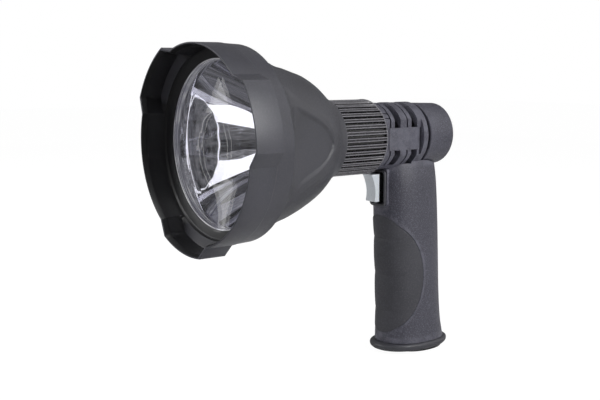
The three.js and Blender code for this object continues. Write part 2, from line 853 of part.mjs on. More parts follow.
// Handle: barrel, neck and grip as one outside, then the hollow, then the inner ribs and bosses
function slotCutters() {
  return slotFronts.map((front) => {
    const back = front + slotLength;
    const open = beamTurned(tube(slotInner, beyond, front, back), mediumSides)
      .intersect(centredBox(beyond, front - overrun, back + overrun, slotBottom, beyond));
    return open.subtract(centredBox(beyond, front - overrun, back + overrun, panelBottom, panelTop));
  });
}

function handleOutside() {
  const flats = [-1, 1].map((side) => boxFrom(
    side * sideFlat, side * beyond, barrelFront - overrun, sideFlatEnd, -barrelRadius, barrelRadius));
  const barrel = cutBy(beamTurned(rod(barrelRadius, barrelFront, barrelEnd), roundSides), flats);
  const knobRoom = beamTurned(rod(knobRadius + wideGap, barrelEnd, knobEnd + overrun), roundSides);
  const frameBack = frameFront + frameThickness + gap;
  const boss = pushed(roundedPlate(frameHalfWidth, frameBottom, bossTop, frameCorner),
    alongBeam, frameBack, bossBack);
  const frameRoom = pushed(roundedPlate(frameHalfWidth + gap, frameBottom - gap, frameTop + gap, frameCorner),
    alongBeam, insertFront, frameBack);
  const grip = cutBy(gripLoft(0, gripTop, gripBottom), [knobRoom, frameRoom]);
  const panels = centredBox(panelFlat, panelFront, panelBack, panelBottom, panelTop);
  const spigot = beamTurned(rod(spigotRadius, domeEnd + gap, barrelFront + overrun), roundSides);
  return cutBy(unionOf([barrel, grip, boss]), slotCutters()).add(panels).add(spigot);
}

function handleHollow() {
  const clampRib = beamTurned(tube(clampRadius + gap, barrelBore + overrun, clampFront + gap, clampBack - gap),
    mediumSides);
  const recess = insertPrism(gap).subtract(gripLoft(insertThickness + gap, gripTop, gripBottom - overrun));
  const recessLimit = centredBox(beyond, 0, beyond, gripBottom + overrun, frameBottom - overrun);
  return unionOf([
    beamTurned(rod(barrelBore, domeEnd, rearWallFront), mediumSides).subtract(clampRib),
    beamTurned(rod(bushRadius + gap, rearWallFront - overrun, barrelEnd + overrun), smallSides),
    gripLoft(gripWall, cavityTop, gripBottom - overrun),
    pushed(roundedPlate(openingHalfWidth, openingBottom, openingTop, openingCorner),
      alongBeam, insertFront, openingBack),
    recess.intersect(recessLimit),
    pinSlot(barrelBore - overrun, spigotRadius + overrun),
    centredBox(wireHalfWidth, wireFront, wireBack, cavityTop - overrun, overrun - barrelBore),
  ]);
}

function handleRibs() {
  const ribs = [];
  for (const side of [-1, 1]) {
    ribs.push(boxFrom(side * (switchHalfWidth + gap), side * ribReach, switchFront, switchBack,
      switchBottom, switchTop));
    ribs.push(boxFrom(side * (triggerHalfWidth + gap), side * (openingHalfWidth + overrun),
      bossBack - overrun, pivotDepth + pivotEye, pivotHeight - pivotEye, pivotHeight + pivotEye));
  }
  const bosses = screwDepths.map((y, k) => sidewaysTurned(
    rod(screwBoss, -bossReach, bossReach), smallSides, y, screwHeights[k]));
  return unionOf([...ribs, unionOf(bosses).intersect(gripLoft(bossInset, gripTop, gripBottom))]);
}

function handleHoles() {
  const pinHole = sidewaysTurned(rod(pivotPinRadius + gap, -pivotPinReach - gap, pivotPinReach + gap),
    tinySides, pivotDepth, pivotHeight);
  const tip = screwSeat + screwLength + gap;
  return [pinHole, ...screwDepths.map((y, k) => sidewaysTurned([
    [0, -beyond], [screwHead + gap, -beyond], [screwHead + gap, screwSeat], [screwRadius + gap, screwSeat],
    [screwRadius + gap, tip], [0, tip],
  ], smallSides, y, screwHeights[k]))];
}

function handleShells() {
  const body = cutBy(handleOutside().subtract(handleHollow()).add(handleRibs()), handleHoles());
  return [1, -1].map((side) => body.intersect(
    boxFrom((side * shellSeam) / 2, side * beyond, 0, beyond, -beyond, beyond)));
}

function shellScrew(y, z) {
  const head = screwSeat - screwHeadHeight;
  const tip = screwSeat + screwLength;
  return sidewaysTurned([
    [0, head], [screwHead, head], [screwHead, screwSeat], [screwRadius, screwSeat], [screwRadius, tip], [0, tip],
  ], tinySides, y, z);
}

// Trigger: a concave front, a hinge eye at the top with room for the spring, and a flat back
function trigger() {
  const middle = (triggerTop + triggerBottom) / 2;
  const pull = triggerFrontMiddle * 2 - (triggerFrontTop + triggerFrontBottom) / 2;
  const shape = new THREE.Shape();
  shape.moveTo(triggerFrontTop, triggerTop);
  shape.quadraticCurveTo(pull, middle, triggerFrontBottom, triggerBottom + triggerBevel);
  shape.lineTo(triggerFrontBottom + triggerBevel, triggerBottom);
  shape.lineTo(triggerBack - triggerBevel, triggerBottom);
  shape.lineTo(triggerBack, triggerBottom + triggerBevel);
  shape.lineTo(triggerBack, triggerTop);
  const nose = pushed(shape, sideToSide, -triggerHalfWidth, triggerHalfWidth, triggerSteps);
  const eye = sidewaysTurned(rod(pivotEye, -triggerHalfWidth, triggerHalfWidth), smallSides, pivotDepth, pivotHeight);
  const hole = sidewaysTurned(rod(pivotPinRadius + gap, -beyond, beyond), tinySides, pivotDepth, pivotHeight);
  const room = centredBox(springRoomHalfWidth, pivotDepth - springRoom, pivotDepth + pivotEye + overrun,
    pivotHeight - springRoom, triggerTop + overrun);
  return cutBy(nose.add(eye), [hole, room]);
}

function triggerFrame() {
  const plate = roundedPlate(frameHalfWidth, frameBottom, frameTop, frameCorner);
  plate.holes.push(roundedPlate(openingHalfWidth, openingBottom, openingTop, openingCorner));
  return pushed(plate, alongBeam, frameFront, frameFront + frameThickness);
}

function microSwitch() {
  const body = centredBox(switchHalfWidth, switchFront, switchBack, switchBottom, switchTop);
  const legs = switchLegs.map((height) => centredBox(switchLegHalfWidth, switchBack - overrun,
    switchBack + switchLegLength, height - switchLegThickness, height));
  const bore = beamTurned(rod(plungerRadius + gap, switchFront - overrun, switchBoreEnd), tinySides, 0, plungerHeight);
  return unionOf([body, ...legs]).subtract(bore);
}

// Cells, one upright and one upside down
function cell(y, upright) {
  const outline = [
    [0, cellBottom], [cellRadius - cellEdge, cellBottom], [cellRadius, cellBottom + cellEdge],
    [cellRadius, cellTop - cellNipHeight - cellEdge], [cellRadius - cellEdge, cellTop - cellNipHeight],
    [cellNip, cellTop - cellNipHeight], [cellNip, cellTop], [0, cellTop],
  ];
  const flipped = outline.map(([radius, height]) => [radius, cellTop + cellBottom - height]).reverse();
  return uprightTurned(upright ? outline : flipped, smallSides, 0, y);
}

const cellDepths = [cellMiddle - cellOffset, cellMiddle + cellOffset];

function cavityPlate(top, thickness) {
  return lofted([top, top - thickness].map((height) => gripRing(height, spacerInset)));
}

function cellSpacer(top) {
  const bottom = top - spacerHeight;
  const bores = cellDepths.map((y) => uprightTurned(
    rod(cellRadius + gap, bottom - overrun, top + overrun), smallSides, 0, y));
  const bridge = centredBox(spacerBridge, ...cellDepths, bottom - overrun, top + overrun);
  return cutBy(cavityPlate(top, spacerHeight), [...bores, bridge]);
}

const linkBottom = cellTop + gap;
const holderBottom = linkBottom + linkThickness + gap;

// Base: cap with a rounded flange and a hollow plug-in rim, rubber foot, charging port and its plug
const capTop = gripBottom - gap;
const plugInTop = capTop + plugInHeight;
const footTop = footThickness - beamHeight;
const chargeBoardBottom = capFloor + gap;
const chargeBoardTop = chargeBoardBottom + chargeBoardThickness;
const plugBottom = gap - beamHeight;
const plugTop = plugBottom + portThickness;

const plugInBlock = (inset, from, to) => lofted([from, to].map((height) => gripRing(height, inset, plugInTop)));

const footBlock = (grow, from, to) => lofted([from, to].map((height) => ringAt(
  height, footMiddle, footHalfLength + grow, footHalfWidth + grow, flangeSquareness)));

const portBlock = (halfDepth, halfWidth, from, to) => centredBox(
  halfDepth, portDepth - halfWidth, portDepth + halfWidth, from, to);

function baseCap() {
  const flange = lofted(flangeRiseShares.map((rise, k) => ringAt(
    flangeUnderside + (capTop - flangeUnderside) * rise, flangeMiddle,
    flangeHalfLength * flangeWidthShares[k], flangeHalfWidth * flangeWidthShares[k], flangeSquareness)));
  return cutBy(flange.add(plugInBlock(plugInInset, capTop - overrun, plugInTop)), [
    plugInBlock(plugInInset + plugInWall, capFloor, plugInTop + overrun),
    footBlock(gap, -beamHeight, footTop + gap),
    portBlock(socketHalfDepth + gap, socketHalfWidth + gap, footTop, capFloor + overrun),
  ]);
}

function footPad() {
  return footBlock(0, -beamHeight, footTop).subtract(uprightTurned(
    rod(portRadius + gap, -beamHeight - overrun, footTop + overrun), smallSides, 0, portDepth));
}

function chargeSocket() {
  const inner = portBlock(socketHalfDepth - socketWall, socketHalfWidth - socketWall,
    socketBottom - overrun, socketRoof);
  return portBlock(socketHalfDepth, socketHalfWidth, socketBottom, capFloor).subtract(inner);
}

function portPlug() {
  const stemGap = socketWall + gap;
  return uprightTurned(rod(portRadius, plugBottom, plugTop), smallSides, 0, portDepth)
    .add(portBlock(socketHalfDepth - stemGap, socketHalfWidth - stemGap, plugTop - overrun, plugTop + stemLength));
}

// Dimmer: potentiometer, nut, shaft and the knob over them
function dimmerBody() {
  const bore = shaftRadius + gap;
  return beamTurned([
    [0, potFront], [potRadius, potFront], [potRadius, potBack], [bushRadius, potBack], [bushRadius, bushEnd],
    [bore, bushEnd], [bore, shaftFront - gap], [0, shaftFront - gap],
  ], smallSides);
}

function dimmerNut() {
  const back = barrelEnd + nutThickness;
  return beamTurned(rod(nutRadius, barrelEnd, back), nutSides).subtract(
    beamTurned(rod(bushRadius + gap, barrelEnd - overrun, back + overrun), smallSides));
}

function dimmerKnob() {
  const inside = knobEnd - knobWall;
  const corner = [];
  for (let k = 0; k <= knobRoundSteps; k++) {
    const [out, back] = polar(knobRound, (k * 90) / knobRoundSteps);
    corner.push([knobEndRadius - knobRound + out, knobEnd - knobRound + back]);
  }
  return beamTurned([
    [shaftRadius + gap, knobHubFront], [knobHub, knobHubFront], [knobHub, inside], [knobRadius - knobWall, inside],
    [knobRadius - knobWall, knobFront], [knobRadius, knobFront], ...corner, [0, knobEnd],
    [0, shaftEnd + gap], [shaftRadius + gap, shaftEnd + gap],
  ], roundSides);
}

addPiece('bezel', bezel(), casingLook);
addPiece('lens_glass', lens(), glassLook);
addPiece('lens_gasket', beamTurned(tube(gasketInner, lensRadius, gasketFront, gasketBack), roundSides), rubberLook);
addPiece('reflector', reflector(), mirrorLook);
addPiece('head_housing', headHousing(), casingLook);
addPiece('head_seal', headSeal(), rubberLook);
headScrewSpots.forEach((spot, k) => addPiece(`head_screw_${k + 1}`, headScrew(spot), steelLook));
addPiece('focus_collar', focusCollar(), casingLook);

addPiece('led_carrier', carrier(), alloyLook);
addPiece('cam_pin', uprightTurned(rod(pinRadius, pinRoot, pinTop), tinySides, 0, pinDepth), steelLook);
addPiece('led_board', beamTurned(rod(boardRadius, boardFront, boardBack), smallSides), whiteLook);
addPiece('led_emitter', emitter(), emitterLook);
addPiece('led_ring', beamTurned(
  tube(centringInner, centringOuter, boardFront - centringThickness, boardFront), smallSides), whiteLook);
addPiece('heat_sink', heatSink(), alloyLook);

const [shellLeft, shellRight] = handleShells();
addPiece('handle_shell_left', shellLeft, casingLook);
addPiece('handle_shell_right', shellRight, casingLook);
screwDepths.forEach((y, k) => addPiece(`shell_screw_${k + 1}`, shellScrew(y, screwHeights[k]), steelLook));
addPiece('grip_insert', gripInsert(), softLook);

addPiece('trigger', trigger(), triggerLook);
addPiece('trigger_frame', triggerFrame(), casingLook);
addPiece('trigger_pin', sidewaysTurned(
  rod(pivotPinRadius, -pivotPinReach, pivotPinReach), tinySides, pivotDepth, pivotHeight), steelLook);
const springStart = new THREE.Vector3(-springHalfLength, pivotDepth, pivotHeight);
addPiece('trigger_spring', wound(
  new Coil(springStart, springRadius, springTurns, springHalfLength * 2, true), springWire), steelLook);
const plungerFront = triggerBack + gap;
addPiece('switch_body', microSwitch(), rubberLook);
addPiece('switch_plunger', beamTurned(
  rod(plungerRadius, plungerFront, plungerFront + plungerLength), tinySides, 0, plungerHeight), whiteLook);

addPiece('driver_board', centredBox(
  driverHalfWidth, driverFront, driverFront + driverThickness, driverBottom, driverTop), boardLook);
addPiece('driver_choke', beamTurned(
  tube(chokeInner, chokeOuter, driverFront - chokeLength, driverFront), smallSides, 0, chokeHeight), alloyLook);
addPiece('driver_capacitor', beamTurned(
  rod(capacitorRadius, driverFront - capacitorLength, driverFront), smallSides, 0, capacitorHeight), rubberLook);

cellDepths.forEach((y, k) => {
  const start = new THREE.Vector3(0, y, chargeBoardTop + contactWire);
  const coil = new Coil(start, contactRadius, contactTurns, contactHeight - contactWire * 2, false);
  addPiece(`cell_${k + 1}`, cell(y, k === 0), cellLook);
  addPiece(`contact_spring_${k + 1}`, wound(coil, contactWire), steelLook);
});
spacerTops.forEach((top, k) => addPiece(`cell_spacer_${k + 1}`, cellSpacer(top), rubberLook));
addPiece('cell_link', centredBox(
  linkHalfWidth, cellMiddle - linkHalfLength, cellMiddle + linkHalfLength, linkBottom, linkBottom + linkThickness),
  steelLook);
addPiece('link_holder', cavityPlate(holderBottom + holderThickness, holderThickness), whiteLook);

addPiece('base_cap', baseCap(), casingLook);
addPiece('foot_pad', footPad(), rubberLook);
addPiece('charge_board', plugInBlock(plugInInset + plugInWall + gap, chargeBoardBottom, chargeBoardTop), boardLook);
addPiece('charge_socket', chargeSocket(), steelLook);
addPiece('port_plug', portPlug(), rubberLook);

addPiece('dimmer_body', dimmerBody(), boardLook);
addPiece('dimmer_nut', dimmerNut(), steelLook);
addPiece('dimmer_shaft', beamTurned(rod(shaftRadius, shaftFront, shaftEnd), smallSides), steelLook);
addPiece('dimmer_knob', dimmerKnob(), casingLook);
addPiece('knob_seal', beamTurned(tube(sealInner, sealOuter, barrelEnd, barrelEnd + sealThickness), mediumSides),
  rubberLook);

export default group;
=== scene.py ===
import itertools
import math
import bmesh
import bpy
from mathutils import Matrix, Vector


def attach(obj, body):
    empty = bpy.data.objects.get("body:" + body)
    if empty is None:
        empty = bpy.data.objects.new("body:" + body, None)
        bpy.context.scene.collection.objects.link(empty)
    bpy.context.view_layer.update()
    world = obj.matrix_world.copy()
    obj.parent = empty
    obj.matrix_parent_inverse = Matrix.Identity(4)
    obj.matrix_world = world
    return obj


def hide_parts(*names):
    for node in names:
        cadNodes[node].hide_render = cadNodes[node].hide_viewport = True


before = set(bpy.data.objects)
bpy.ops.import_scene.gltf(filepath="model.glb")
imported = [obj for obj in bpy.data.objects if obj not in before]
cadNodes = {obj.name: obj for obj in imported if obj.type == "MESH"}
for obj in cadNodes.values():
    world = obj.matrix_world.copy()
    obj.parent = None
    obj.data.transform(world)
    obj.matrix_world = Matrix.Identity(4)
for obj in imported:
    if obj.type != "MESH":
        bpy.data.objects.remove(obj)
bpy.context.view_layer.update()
print("frame: loaded", len(cadNodes), "CAD nodes")

# Sizes below are in millimetres: depth runs back from the front rim, height is measured from the beam
mm = 0.001
lamp = {"rimReach": 177.5, "beamHeight": 150.0}


def at(x, depth, height):
    return Vector((x * mm, (depth - lamp["rimReach"]) * mm, (height + lamp["beamHeight"]) * mm))


# Camera
view = {"eye": (0.49614, -0.48256, 0.19598), "back": (0.7832, -0.6075, 0.1323), "lens": 60.06}

bpy.ops.object.camera_add(location=view["eye"])
camera = bpy.context.object
camera.name = "photoCamera"
camera.rotation_euler = (-Vector(view["back"])).to_track_quat("-Z", "Y").to_euler()
camera.data.lens = view["lens"]
camera.data.sensor_width = 36
camera.data.clip_start = 0.01
bpy.context.scene.camera = camera
print("camera: placed")


# Finishes
def newFinish(name, roughness=0.5, metallic=0.0, colour=None):
    finish = bpy.data.materials.new(name)
    finish.use_nodes = True
    tree = finish.node_tree
    shader = tree.nodes["Principled BSDF"]
    shader.inputs["Roughness"].default_value = roughness
    shader.inputs["Metallic"].default_value = metallic
    if colour:
        shader.inputs["Base Color"].default_value = (*colour, 1)
    place = tree.nodes.new("ShaderNodeTexCoord")
    return finish, tree, shader, place.outputs["Object"]


def addNoise(tree, place, scale, detail=3.0, stretch=None):
    noise = tree.nodes.new("ShaderNodeTexNoise")
    noise.inputs["Scale"].default_value = scale
    noise.inputs["Detail"].default_value = detail
    if stretch:
        mapping = tree.nodes.new("ShaderNodeMapping")
        mapping.inputs["Scale"].default_value = stretch
        tree.links.new(place, mapping.inputs["Vector"])
        place = mapping.outputs["Vector"]
    tree.links.new(place, noise.inputs["Vector"])
    return noise.outputs["Fac"]


def addRamp(tree, factor, stops):
    ramp = tree.nodes.new("ShaderNodeValToRGB")
    marks = ramp.color_ramp.elements
    while len(marks) < len(stops):
        marks.new(0.5)
    for mark, (spot, colour) in zip(marks, stops):
        mark.position = spot
        mark.color = (*colour, 1) if hasattr(colour, "__len__") else (colour, colour, colour, 1)
    tree.links.new(factor, ramp.inputs["Fac"])
    return ramp.outputs["Color"]


def addMix(tree, factor, first, second):
    mix = tree.nodes.new("ShaderNodeMix")
    mix.data_type = "RGBA"
    tree.links.new(factor, mix.inputs["Factor"])
    for socket, value in ((mix.inputs[6], first), (mix.inputs[7], second)):
        if isinstance(value, tuple):
            socket.default_value = (*value, 1)
        else:
            tree.links.new(value, socket)
    return mix.outputs[2]


def addBump(tree, shader, height, reach, strength=1.0, under=None):
    bump = tree.nodes.new("ShaderNodeBump")
    bump.inputs["Strength"].default_value = strength
    bump.inputs["Distance"].default_value = reach
    tree.links.new(height, bump.inputs["Height"])
    if under:
        tree.links.new(under, bump.inputs["Normal"])
    tree.links.new(bump.outputs["Normal"], shader.inputs["Normal"])
    return bump.outputs["Normal"]


def addMaths(tree, way, *values):
    node = tree.nodes.new("ShaderNodeMath")
    node.operation = way
    for socket, value in zip(node.inputs, values):
        if isinstance(value, (int, float)):
            socket.default_value = value
        else:
            tree.links.new(value, socket)
    return node.outputs[0]


def addVectorMaths(tree, way, first, second):
    node = tree.nodes.new("ShaderNodeVectorMath")
    node.operation = way
    for socket, value in zip(node.inputs, (first, second)):
        if isinstance(value, tuple):
            socket.default_value = value
        else:
            tree.links.new(value, socket)
    return node.outputs


def splitPlace(tree, place):
    parts = tree.nodes.new("ShaderNodeSeparateXYZ")
    tree.links.new(place, parts.inputs[0])
    return parts.outputs


def addBeamRadius(tree, place):      # distance from the beam axis in metres
    parts = splitPlace(tree, place)
    height = addMaths(tree, "SUBTRACT", parts["Z"], lamp["beamHeight"] * mm)
    squares = addMaths(tree, "ADD", addMaths(tree, "POWER", parts["X"], 2.0),
                       addMaths(tree, "POWER", height, 2.0))
    return addMaths(tree, "SQRT", squares)


def addRadiusShare(tree, place, low, high):      # 0 to 1 between two distances from the beam axis
    rise = addMaths(tree, "SUBTRACT", addBeamRadius(tree, place), low * mm)
    return addRamp(tree, addMaths(tree, "DIVIDE", rise, (high - low) * mm), [(0.0, 0.0), (1.0, 1.0)])


def addInwardShare(tree, place):     # 1 on faces that look towards the beam axis
    spot = addVectorMaths(tree, "SUBTRACT", place, (0, 0, lamp["beamHeight"] * mm))["Vector"]
    flat = addVectorMaths(tree, "MULTIPLY", spot, (1, 0, 1))["Vector"]
    normal = tree.nodes["Texture Coordinate"].outputs["Normal"]
    facing = addVectorMaths(tree, "DOT_PRODUCT", flat, normal)["Value"]
    share = addMaths(tree, "DIVIDE", facing, addBeamRadius(tree, place))
    return addRamp(tree, addMaths(tree, "MULTIPLY", share, -1.0), [(0.15, 0.0), (0.4, 1.0)])


# A finish may also ask for painted shade in wells and inside the hood and a painted highlight on crests
# Moulded plastic: tone drift, a fine spark-eroded grain with bright specks, rubbed edges and faint scuffs.
# These values hold for each moulded finish that doesn't set its own
moulded = {
    "speckShare": 0.2, "grainScale": 1700, "driftScale": 38, "scuffScale": 900,
    "scuffStretch": (0.05, 1, 0.3), "scuffShare": 0.12, "wearScale": 160, "wearShare": 0.5,
    "waveScale": 60, "waveDepth": 0.05,
}


def mouldedFinish(name, look):
    finish, tree, shader, place = newFinish(name)
    look = {**moulded, **look}
    drift = addNoise(tree, place, look["driftScale"], 4)
    tone = addRamp(tree, drift, [(0.32, look["dark"]), (0.68, look["light"])])
    grain = addNoise(tree, place, look["grainScale"], 2)
    specks = addMaths(tree, "MULTIPLY", addRamp(tree, grain, [(0.5, 0.0), (0.68, 1.0)]), look["speckShare"])
    tone = addMix(tree, specks, tone, look["speck"])
    streaks = addNoise(tree, place, look["scuffScale"], 1, look["scuffStretch"])
    streaks = addRamp(tree, streaks, [(0.66, 0.0), (0.72, 1.0)])
    tone = addMix(tree, addMaths(tree, "MULTIPLY", streaks, look["scuffShare"]), tone, look["speck"])
    edges = tree.nodes.new("ShaderNodeNewGeometry").outputs["Pointiness"]
    worn = addRamp(tree, edges, [(0.52, 0.0), (0.6, 1.0)])
    patchy = addRamp(tree, addNoise(tree, place, look["wearScale"], 3), [(0.4, 0.25), (0.6, 1.0)])
    worn = addMaths(tree, "MULTIPLY", addMaths(tree, "MULTIPLY", worn, patchy), look["wearShare"])
    # painted shade: darker towards the bottom of the wells between the ribs
    if "shadedWells" in look:
        tone = addMix(tree, addRadiusShare(tree, place, *look["shadedWells"]), look["wellShadeTone"], tone)
    # painted highlight: lighter on the crests of the ribs
    if "highlightCrests" in look:
        tone = addMix(tree, addRadiusShare(tree, place, *look["highlightCrests"]), tone, look["crestHighlightTone"])
    if "behind" in look:
        depth, dark = look["behind"]
        behind = addMaths(tree, "GREATER_THAN", splitPlace(tree, place)["Y"], at(0, depth, 0).y)
        tone = addMix(tree, behind, tone, dark)
    # painted shade: faces that look towards the beam, and all that lies near the beam, are darkened to the
    # inside tone
    if "inside" in look:
        within = addMaths(tree, "LESS_THAN", addBeamRadius(tree, place), look["insideShadeRadius"] * mm)
        shaded = addMaths(tree, "MAXIMUM", addInwardShare(tree, place), within)
        tone = addMix(tree, shaded, tone, look["inside"])
    tone = addMix(tree, worn, tone, look["speck"])
    tree.links.new(tone, shader.inputs["Base Color"])
    rough = addRamp(tree, addNoise(tree, place, look["grainScale"] * 0.5, 3),
                    [(0.35, look["roughness"][0]), (0.65, look["roughness"][1])])
    tree.links.new(rough, shader.inputs["Roughness"])
    fine = addBump(tree, shader, grain, look["grainDepth"] * mm)
    wavy = addNoise(tree, place, look["waveScale"], 2)
    addBump(tree, shader, wavy, look["waveDepth"] * mm, 0.5, fine)
    return finish


finishes = {
    "casing": mouldedFinish("casing", {
        "dark": (0.037, 0.037, 0.044), "light": (0.048, 0.048, 0.058), "speck": (0.10, 0.10, 0.12),
        "speckShare": 0.25, "grainDepth": 0.04, "roughness": (0.4, 0.5)}),
    "hood": mouldedFinish("hood", {
        "dark": (0.042, 0.042, 0.052), "light": (0.057, 0.057, 0.071), "speck": (0.12, 0.12, 0.14),
        "speckShare": 0.25, "grainDepth": 0.03, "roughness": (0.34, 0.44),
        # painted shade inside the hood: its inner faces take the near-black inside tone
        "inside": (0.009, 0.009, 0.011), "insideShadeRadius": 57.3}),
    "ribbed": mouldedFinish("ribbed", {
        "dark": (0.036, 0.035, 0.041), "light": (0.046, 0.045, 0.052), "speck": (0.12, 0.12, 0.13),
        "speckShare": 0.25, "grainDepth": 0.02, "roughness": (0.2, 0.28),
        # painted shade: the wells between the ribs go near black
        "wearShare": 0.0, "scuffShare": 0.0, "shadedWells": (23.4, 24.3), "wellShadeTone": (0.002, 0.002, 0.0025),
        # painted highlight: the rib crests turn light grey
        "highlightCrests": (24.4, 24.58), "crestHighlightTone": (0.2, 0.194, 0.215)}),
    "grained": mouldedFinish("grained", {
        "dark": (0.038, 0.037, 0.052), "light": (0.054, 0.053, 0.072), "speck": (0.15, 0.15, 0.19),
        "speckShare": 0.6, "grainScale": 1500, "grainDepth": 0.09, "roughness": (0.38, 0.55)}),
    "softGrip": mouldedFinish("softGrip", {
        "dark": (0.034, 0.034, 0.042), "light": (0.047, 0.047, 0.057), "speck": (0.085, 0.085, 0.10),
        "speckShare": 0.4, "grainScale": 1200, "grainDepth": 0.06, "roughness": (0.58, 0.7)}),
    "rubber": mouldedFinish("rubber", {
        "dark": (0.010, 0.010, 0.011), "light": (0.017, 0.017, 0.018), "speck": (0.04, 0.04, 0.04),
        "grainScale": 900, "grainDepth": 0.05, "roughness": (0.6, 0.75)}),
    "trigger": mouldedFinish("triggerPlastic", {
        "dark": (0.58, 0.62, 0.66), "light": (0.67, 0.71, 0.76), "speck": (0.76, 0.80, 0.85),
        "grainScale": 1300, "grainDepth": 0.02, "roughness": (0.26, 0.36),
        "behind": (143.3, (0.012, 0.013, 0.014))}),
    "whitePlastic": mouldedFinish("whitePlastic", {
        "dark": (0.72, 0.72, 0.70), "light": (0.78, 0.78, 0.76), "speck": (0.85, 0.85, 0.84),
        "grainScale": 900, "grainDepth": 0.02, "roughness": (0.4, 0.5)}),
    "cellWrap": mouldedFinish("cellWrap", {
        "dark": (0.02, 0.12, 0.34), "light": (0.03, 0.16, 0.42), "speck": (0.1, 0.3, 0.6),
        "speckShare": 0.1, "grainScale": 400, "grainDepth": 0.01, "roughness": (0.25, 0.35)}),
}


# Chrome on moulded plastic: near-perfect mirror with faint ripples round the bowl
chrome = {"roughness": 0.03, "tone": (0.86, 0.86, 0.93), "rippleScale": 45, "rippleDepth": 0.12}


def mirrorFinish():
    finish, tree, shader, place = newFinish("mirror", chrome["roughness"], 1.0, chrome["tone"])
    ripple = addNoise(tree, place, chrome["rippleScale"], 1, (1, 0.35, 1))
    addBump(tree, shader, ripple, chrome["rippleDepth"] * mm, 0.35)
    return finish


glass = {"tone": (0.975, 0.975, 0.99), "refraction": 1.49, "waveScale": 20, "waveDepth": 0.02}


def glassFinish():
    finish, tree, shader, place = newFinish("glass", 0.0, 0.0, glass["tone"])
    shader.inputs["Transmission Weight"].default_value = 1.0
    shader.inputs["IOR"].default_value = glass["refraction"]
    addBump(tree, shader, addNoise(tree, place, glass["waveScale"], 1), glass["waveDepth"] * mm, 0.1)
    return finish


# Pale silicone for the gasket, moulded with fine rings; its glow is painted light and its pale tone partly so
silicone = {
    # glow: emission strength, painted light on a part that is no lamp
    "roughness": 0.2, "metallic": 0.6, "glow": 0.24, "coat": 1.0, "coatRoughness": 0.05,
    "ringScale": 1600, "alongShare": 0.03, "patchScale": 90, "patchTone": (0.34, 0.34, 0.4),
    "tones": [(0.38, (0.10, 0.10, 0.13)), (0.5, (0.5, 0.5, 0.54)), (0.6, (0.95, 0.95, 0.97))],
}


def siliconeFinish():
    s = silicone
    finish, tree, shader, place = newFinish("silicone", s["roughness"], s["metallic"])
    parts = splitPlace(tree, place)
    spot = tree.nodes.new("ShaderNodeCombineXYZ")
    tree.links.new(addBeamRadius(tree, place), spot.inputs[0])
    tree.links.new(parts["Y"], spot.inputs[1])
    tree.links.new(addMaths(tree, "MULTIPLY", parts["Z"], s["alongShare"]), spot.inputs[2])
    rings = addNoise(tree, spot.outputs[0], s["ringScale"], 2)
    patches = addRamp(tree, addNoise(tree, place, s["patchScale"], 3), [(0.38, 0.25), (0.62, 1.0)])
    tone = addMix(tree, patches, s["patchTone"], addRamp(tree, rings, s["tones"]))
    tree.links.new(tone, shader.inputs["Base Color"])
    # painted light: the gasket glows in its own tone, brightening it in the hood's shade
    tree.links.new(tone, shader.inputs["Emission Color"])
    shader.inputs["Emission Strength"].default_value = s["glow"]
    shader.inputs["Coat Weight"].default_value = s["coat"]
    shader.inputs["Coat Roughness"].default_value = s["coatRoughness"]
    return finish


def metalFinish(name, dark, light, roughness, metallic=1.0, scale=700):
    finish, tree, shader, place = newFinish(name, metallic=metallic)
    brushed = addNoise(tree, place, scale, 3, (1, 0.08, 1))
    for ends, socket in (((dark, light), "Base Color"), (roughness, "Roughness")):
        tree.links.new(addRamp(tree, brushed, [(0.3, ends[0]), (0.7, ends[1])]), shader.inputs[socket])
    addBump(tree, shader, brushed, 0.02 * mm, 0.5)
    return finish


def emitterFinish():
    finish, tree, shader, place = newFinish("emitterPhosphor", 0.2)
    grains = addNoise(tree, place, 1500, 2)
    tone = addRamp(tree, grains, [(0.3, (0.75, 0.55, 0.10)), (0.7, (0.85, 0.68, 0.18))])
    tree.links.new(tone, shader.inputs["Base Color"])
    shader.inputs["Coat Weight"].default_value = 0.8
    return finish


# Circuit board: solder resist with copper lines just showing through
def circuitFinish():
    finish, tree, shader, place = newFinish("circuit", 0.4)
    lines = tree.nodes.new("ShaderNodeTexVoronoi")
    lines.feature = "DISTANCE_TO_EDGE"
    lines.inputs["Scale"].default_value = 350
    tree.links.new(place, lines.inputs["Vector"])
    tone = addRamp(tree, lines.outputs["Distance"], [(0.04, (0.06, 0.26, 0.12)), (0.1, (0.015, 0.13, 0.05))])
    tree.links.new(tone, shader.inputs["Base Color"])
    return finish


finishes["mirror"] = mirrorFinish()
finishes["glass"] = glassFinish()
finishes["silicone"] = siliconeFinish()
finishes["alloy"] = metalFinish("alloy", (0.03, 0.03, 0.033), (0.05, 0.05, 0.055), (0.4, 0.55), 0.6)
finishes["steel"] = metalFinish("steel", (0.45, 0.46, 0.47), (0.62, 0.63, 0.64), (0.25, 0.4))
finishes["emitter"] = emitterFinish()
finishes["circuit"] = circuitFinish()
print("finishes: made", len(finishes))


# Modelling helpers
def clearSelection():
    if bpy.context.mode != "OBJECT":
        bpy.ops.object.mode_set(mode="OBJECT")
    bpy.ops.object.select_all(action="DESELECT")


def pick(piece):
    clearSelection()
    piece.select_set(True)
    bpy.context.view_layer.objects.active = piece


def openMesh():      # all of the active piece, ready to edit
    bpy.ops.object.mode_set(mode="EDIT")
    bpy.ops.mesh.select_all(action="SELECT")


def startPiece(name):      # the primitive that was just added, with its place put in its mesh
    piece = bpy.context.object
    piece.name = name
    piece.data.name = name
    pick(piece)
    bpy.ops.object.transform_apply(location=True, rotation=True, scale=True)
    return piece


def tidyMesh(piece):
    pick(piece)
    openMesh()
    bpy.ops.mesh.remove_doubles(threshold=0.002 * mm)
    bpy.ops.mesh.normals_make_consistent(inside=False)
    bpy.ops.object.mode_set(mode="OBJECT")


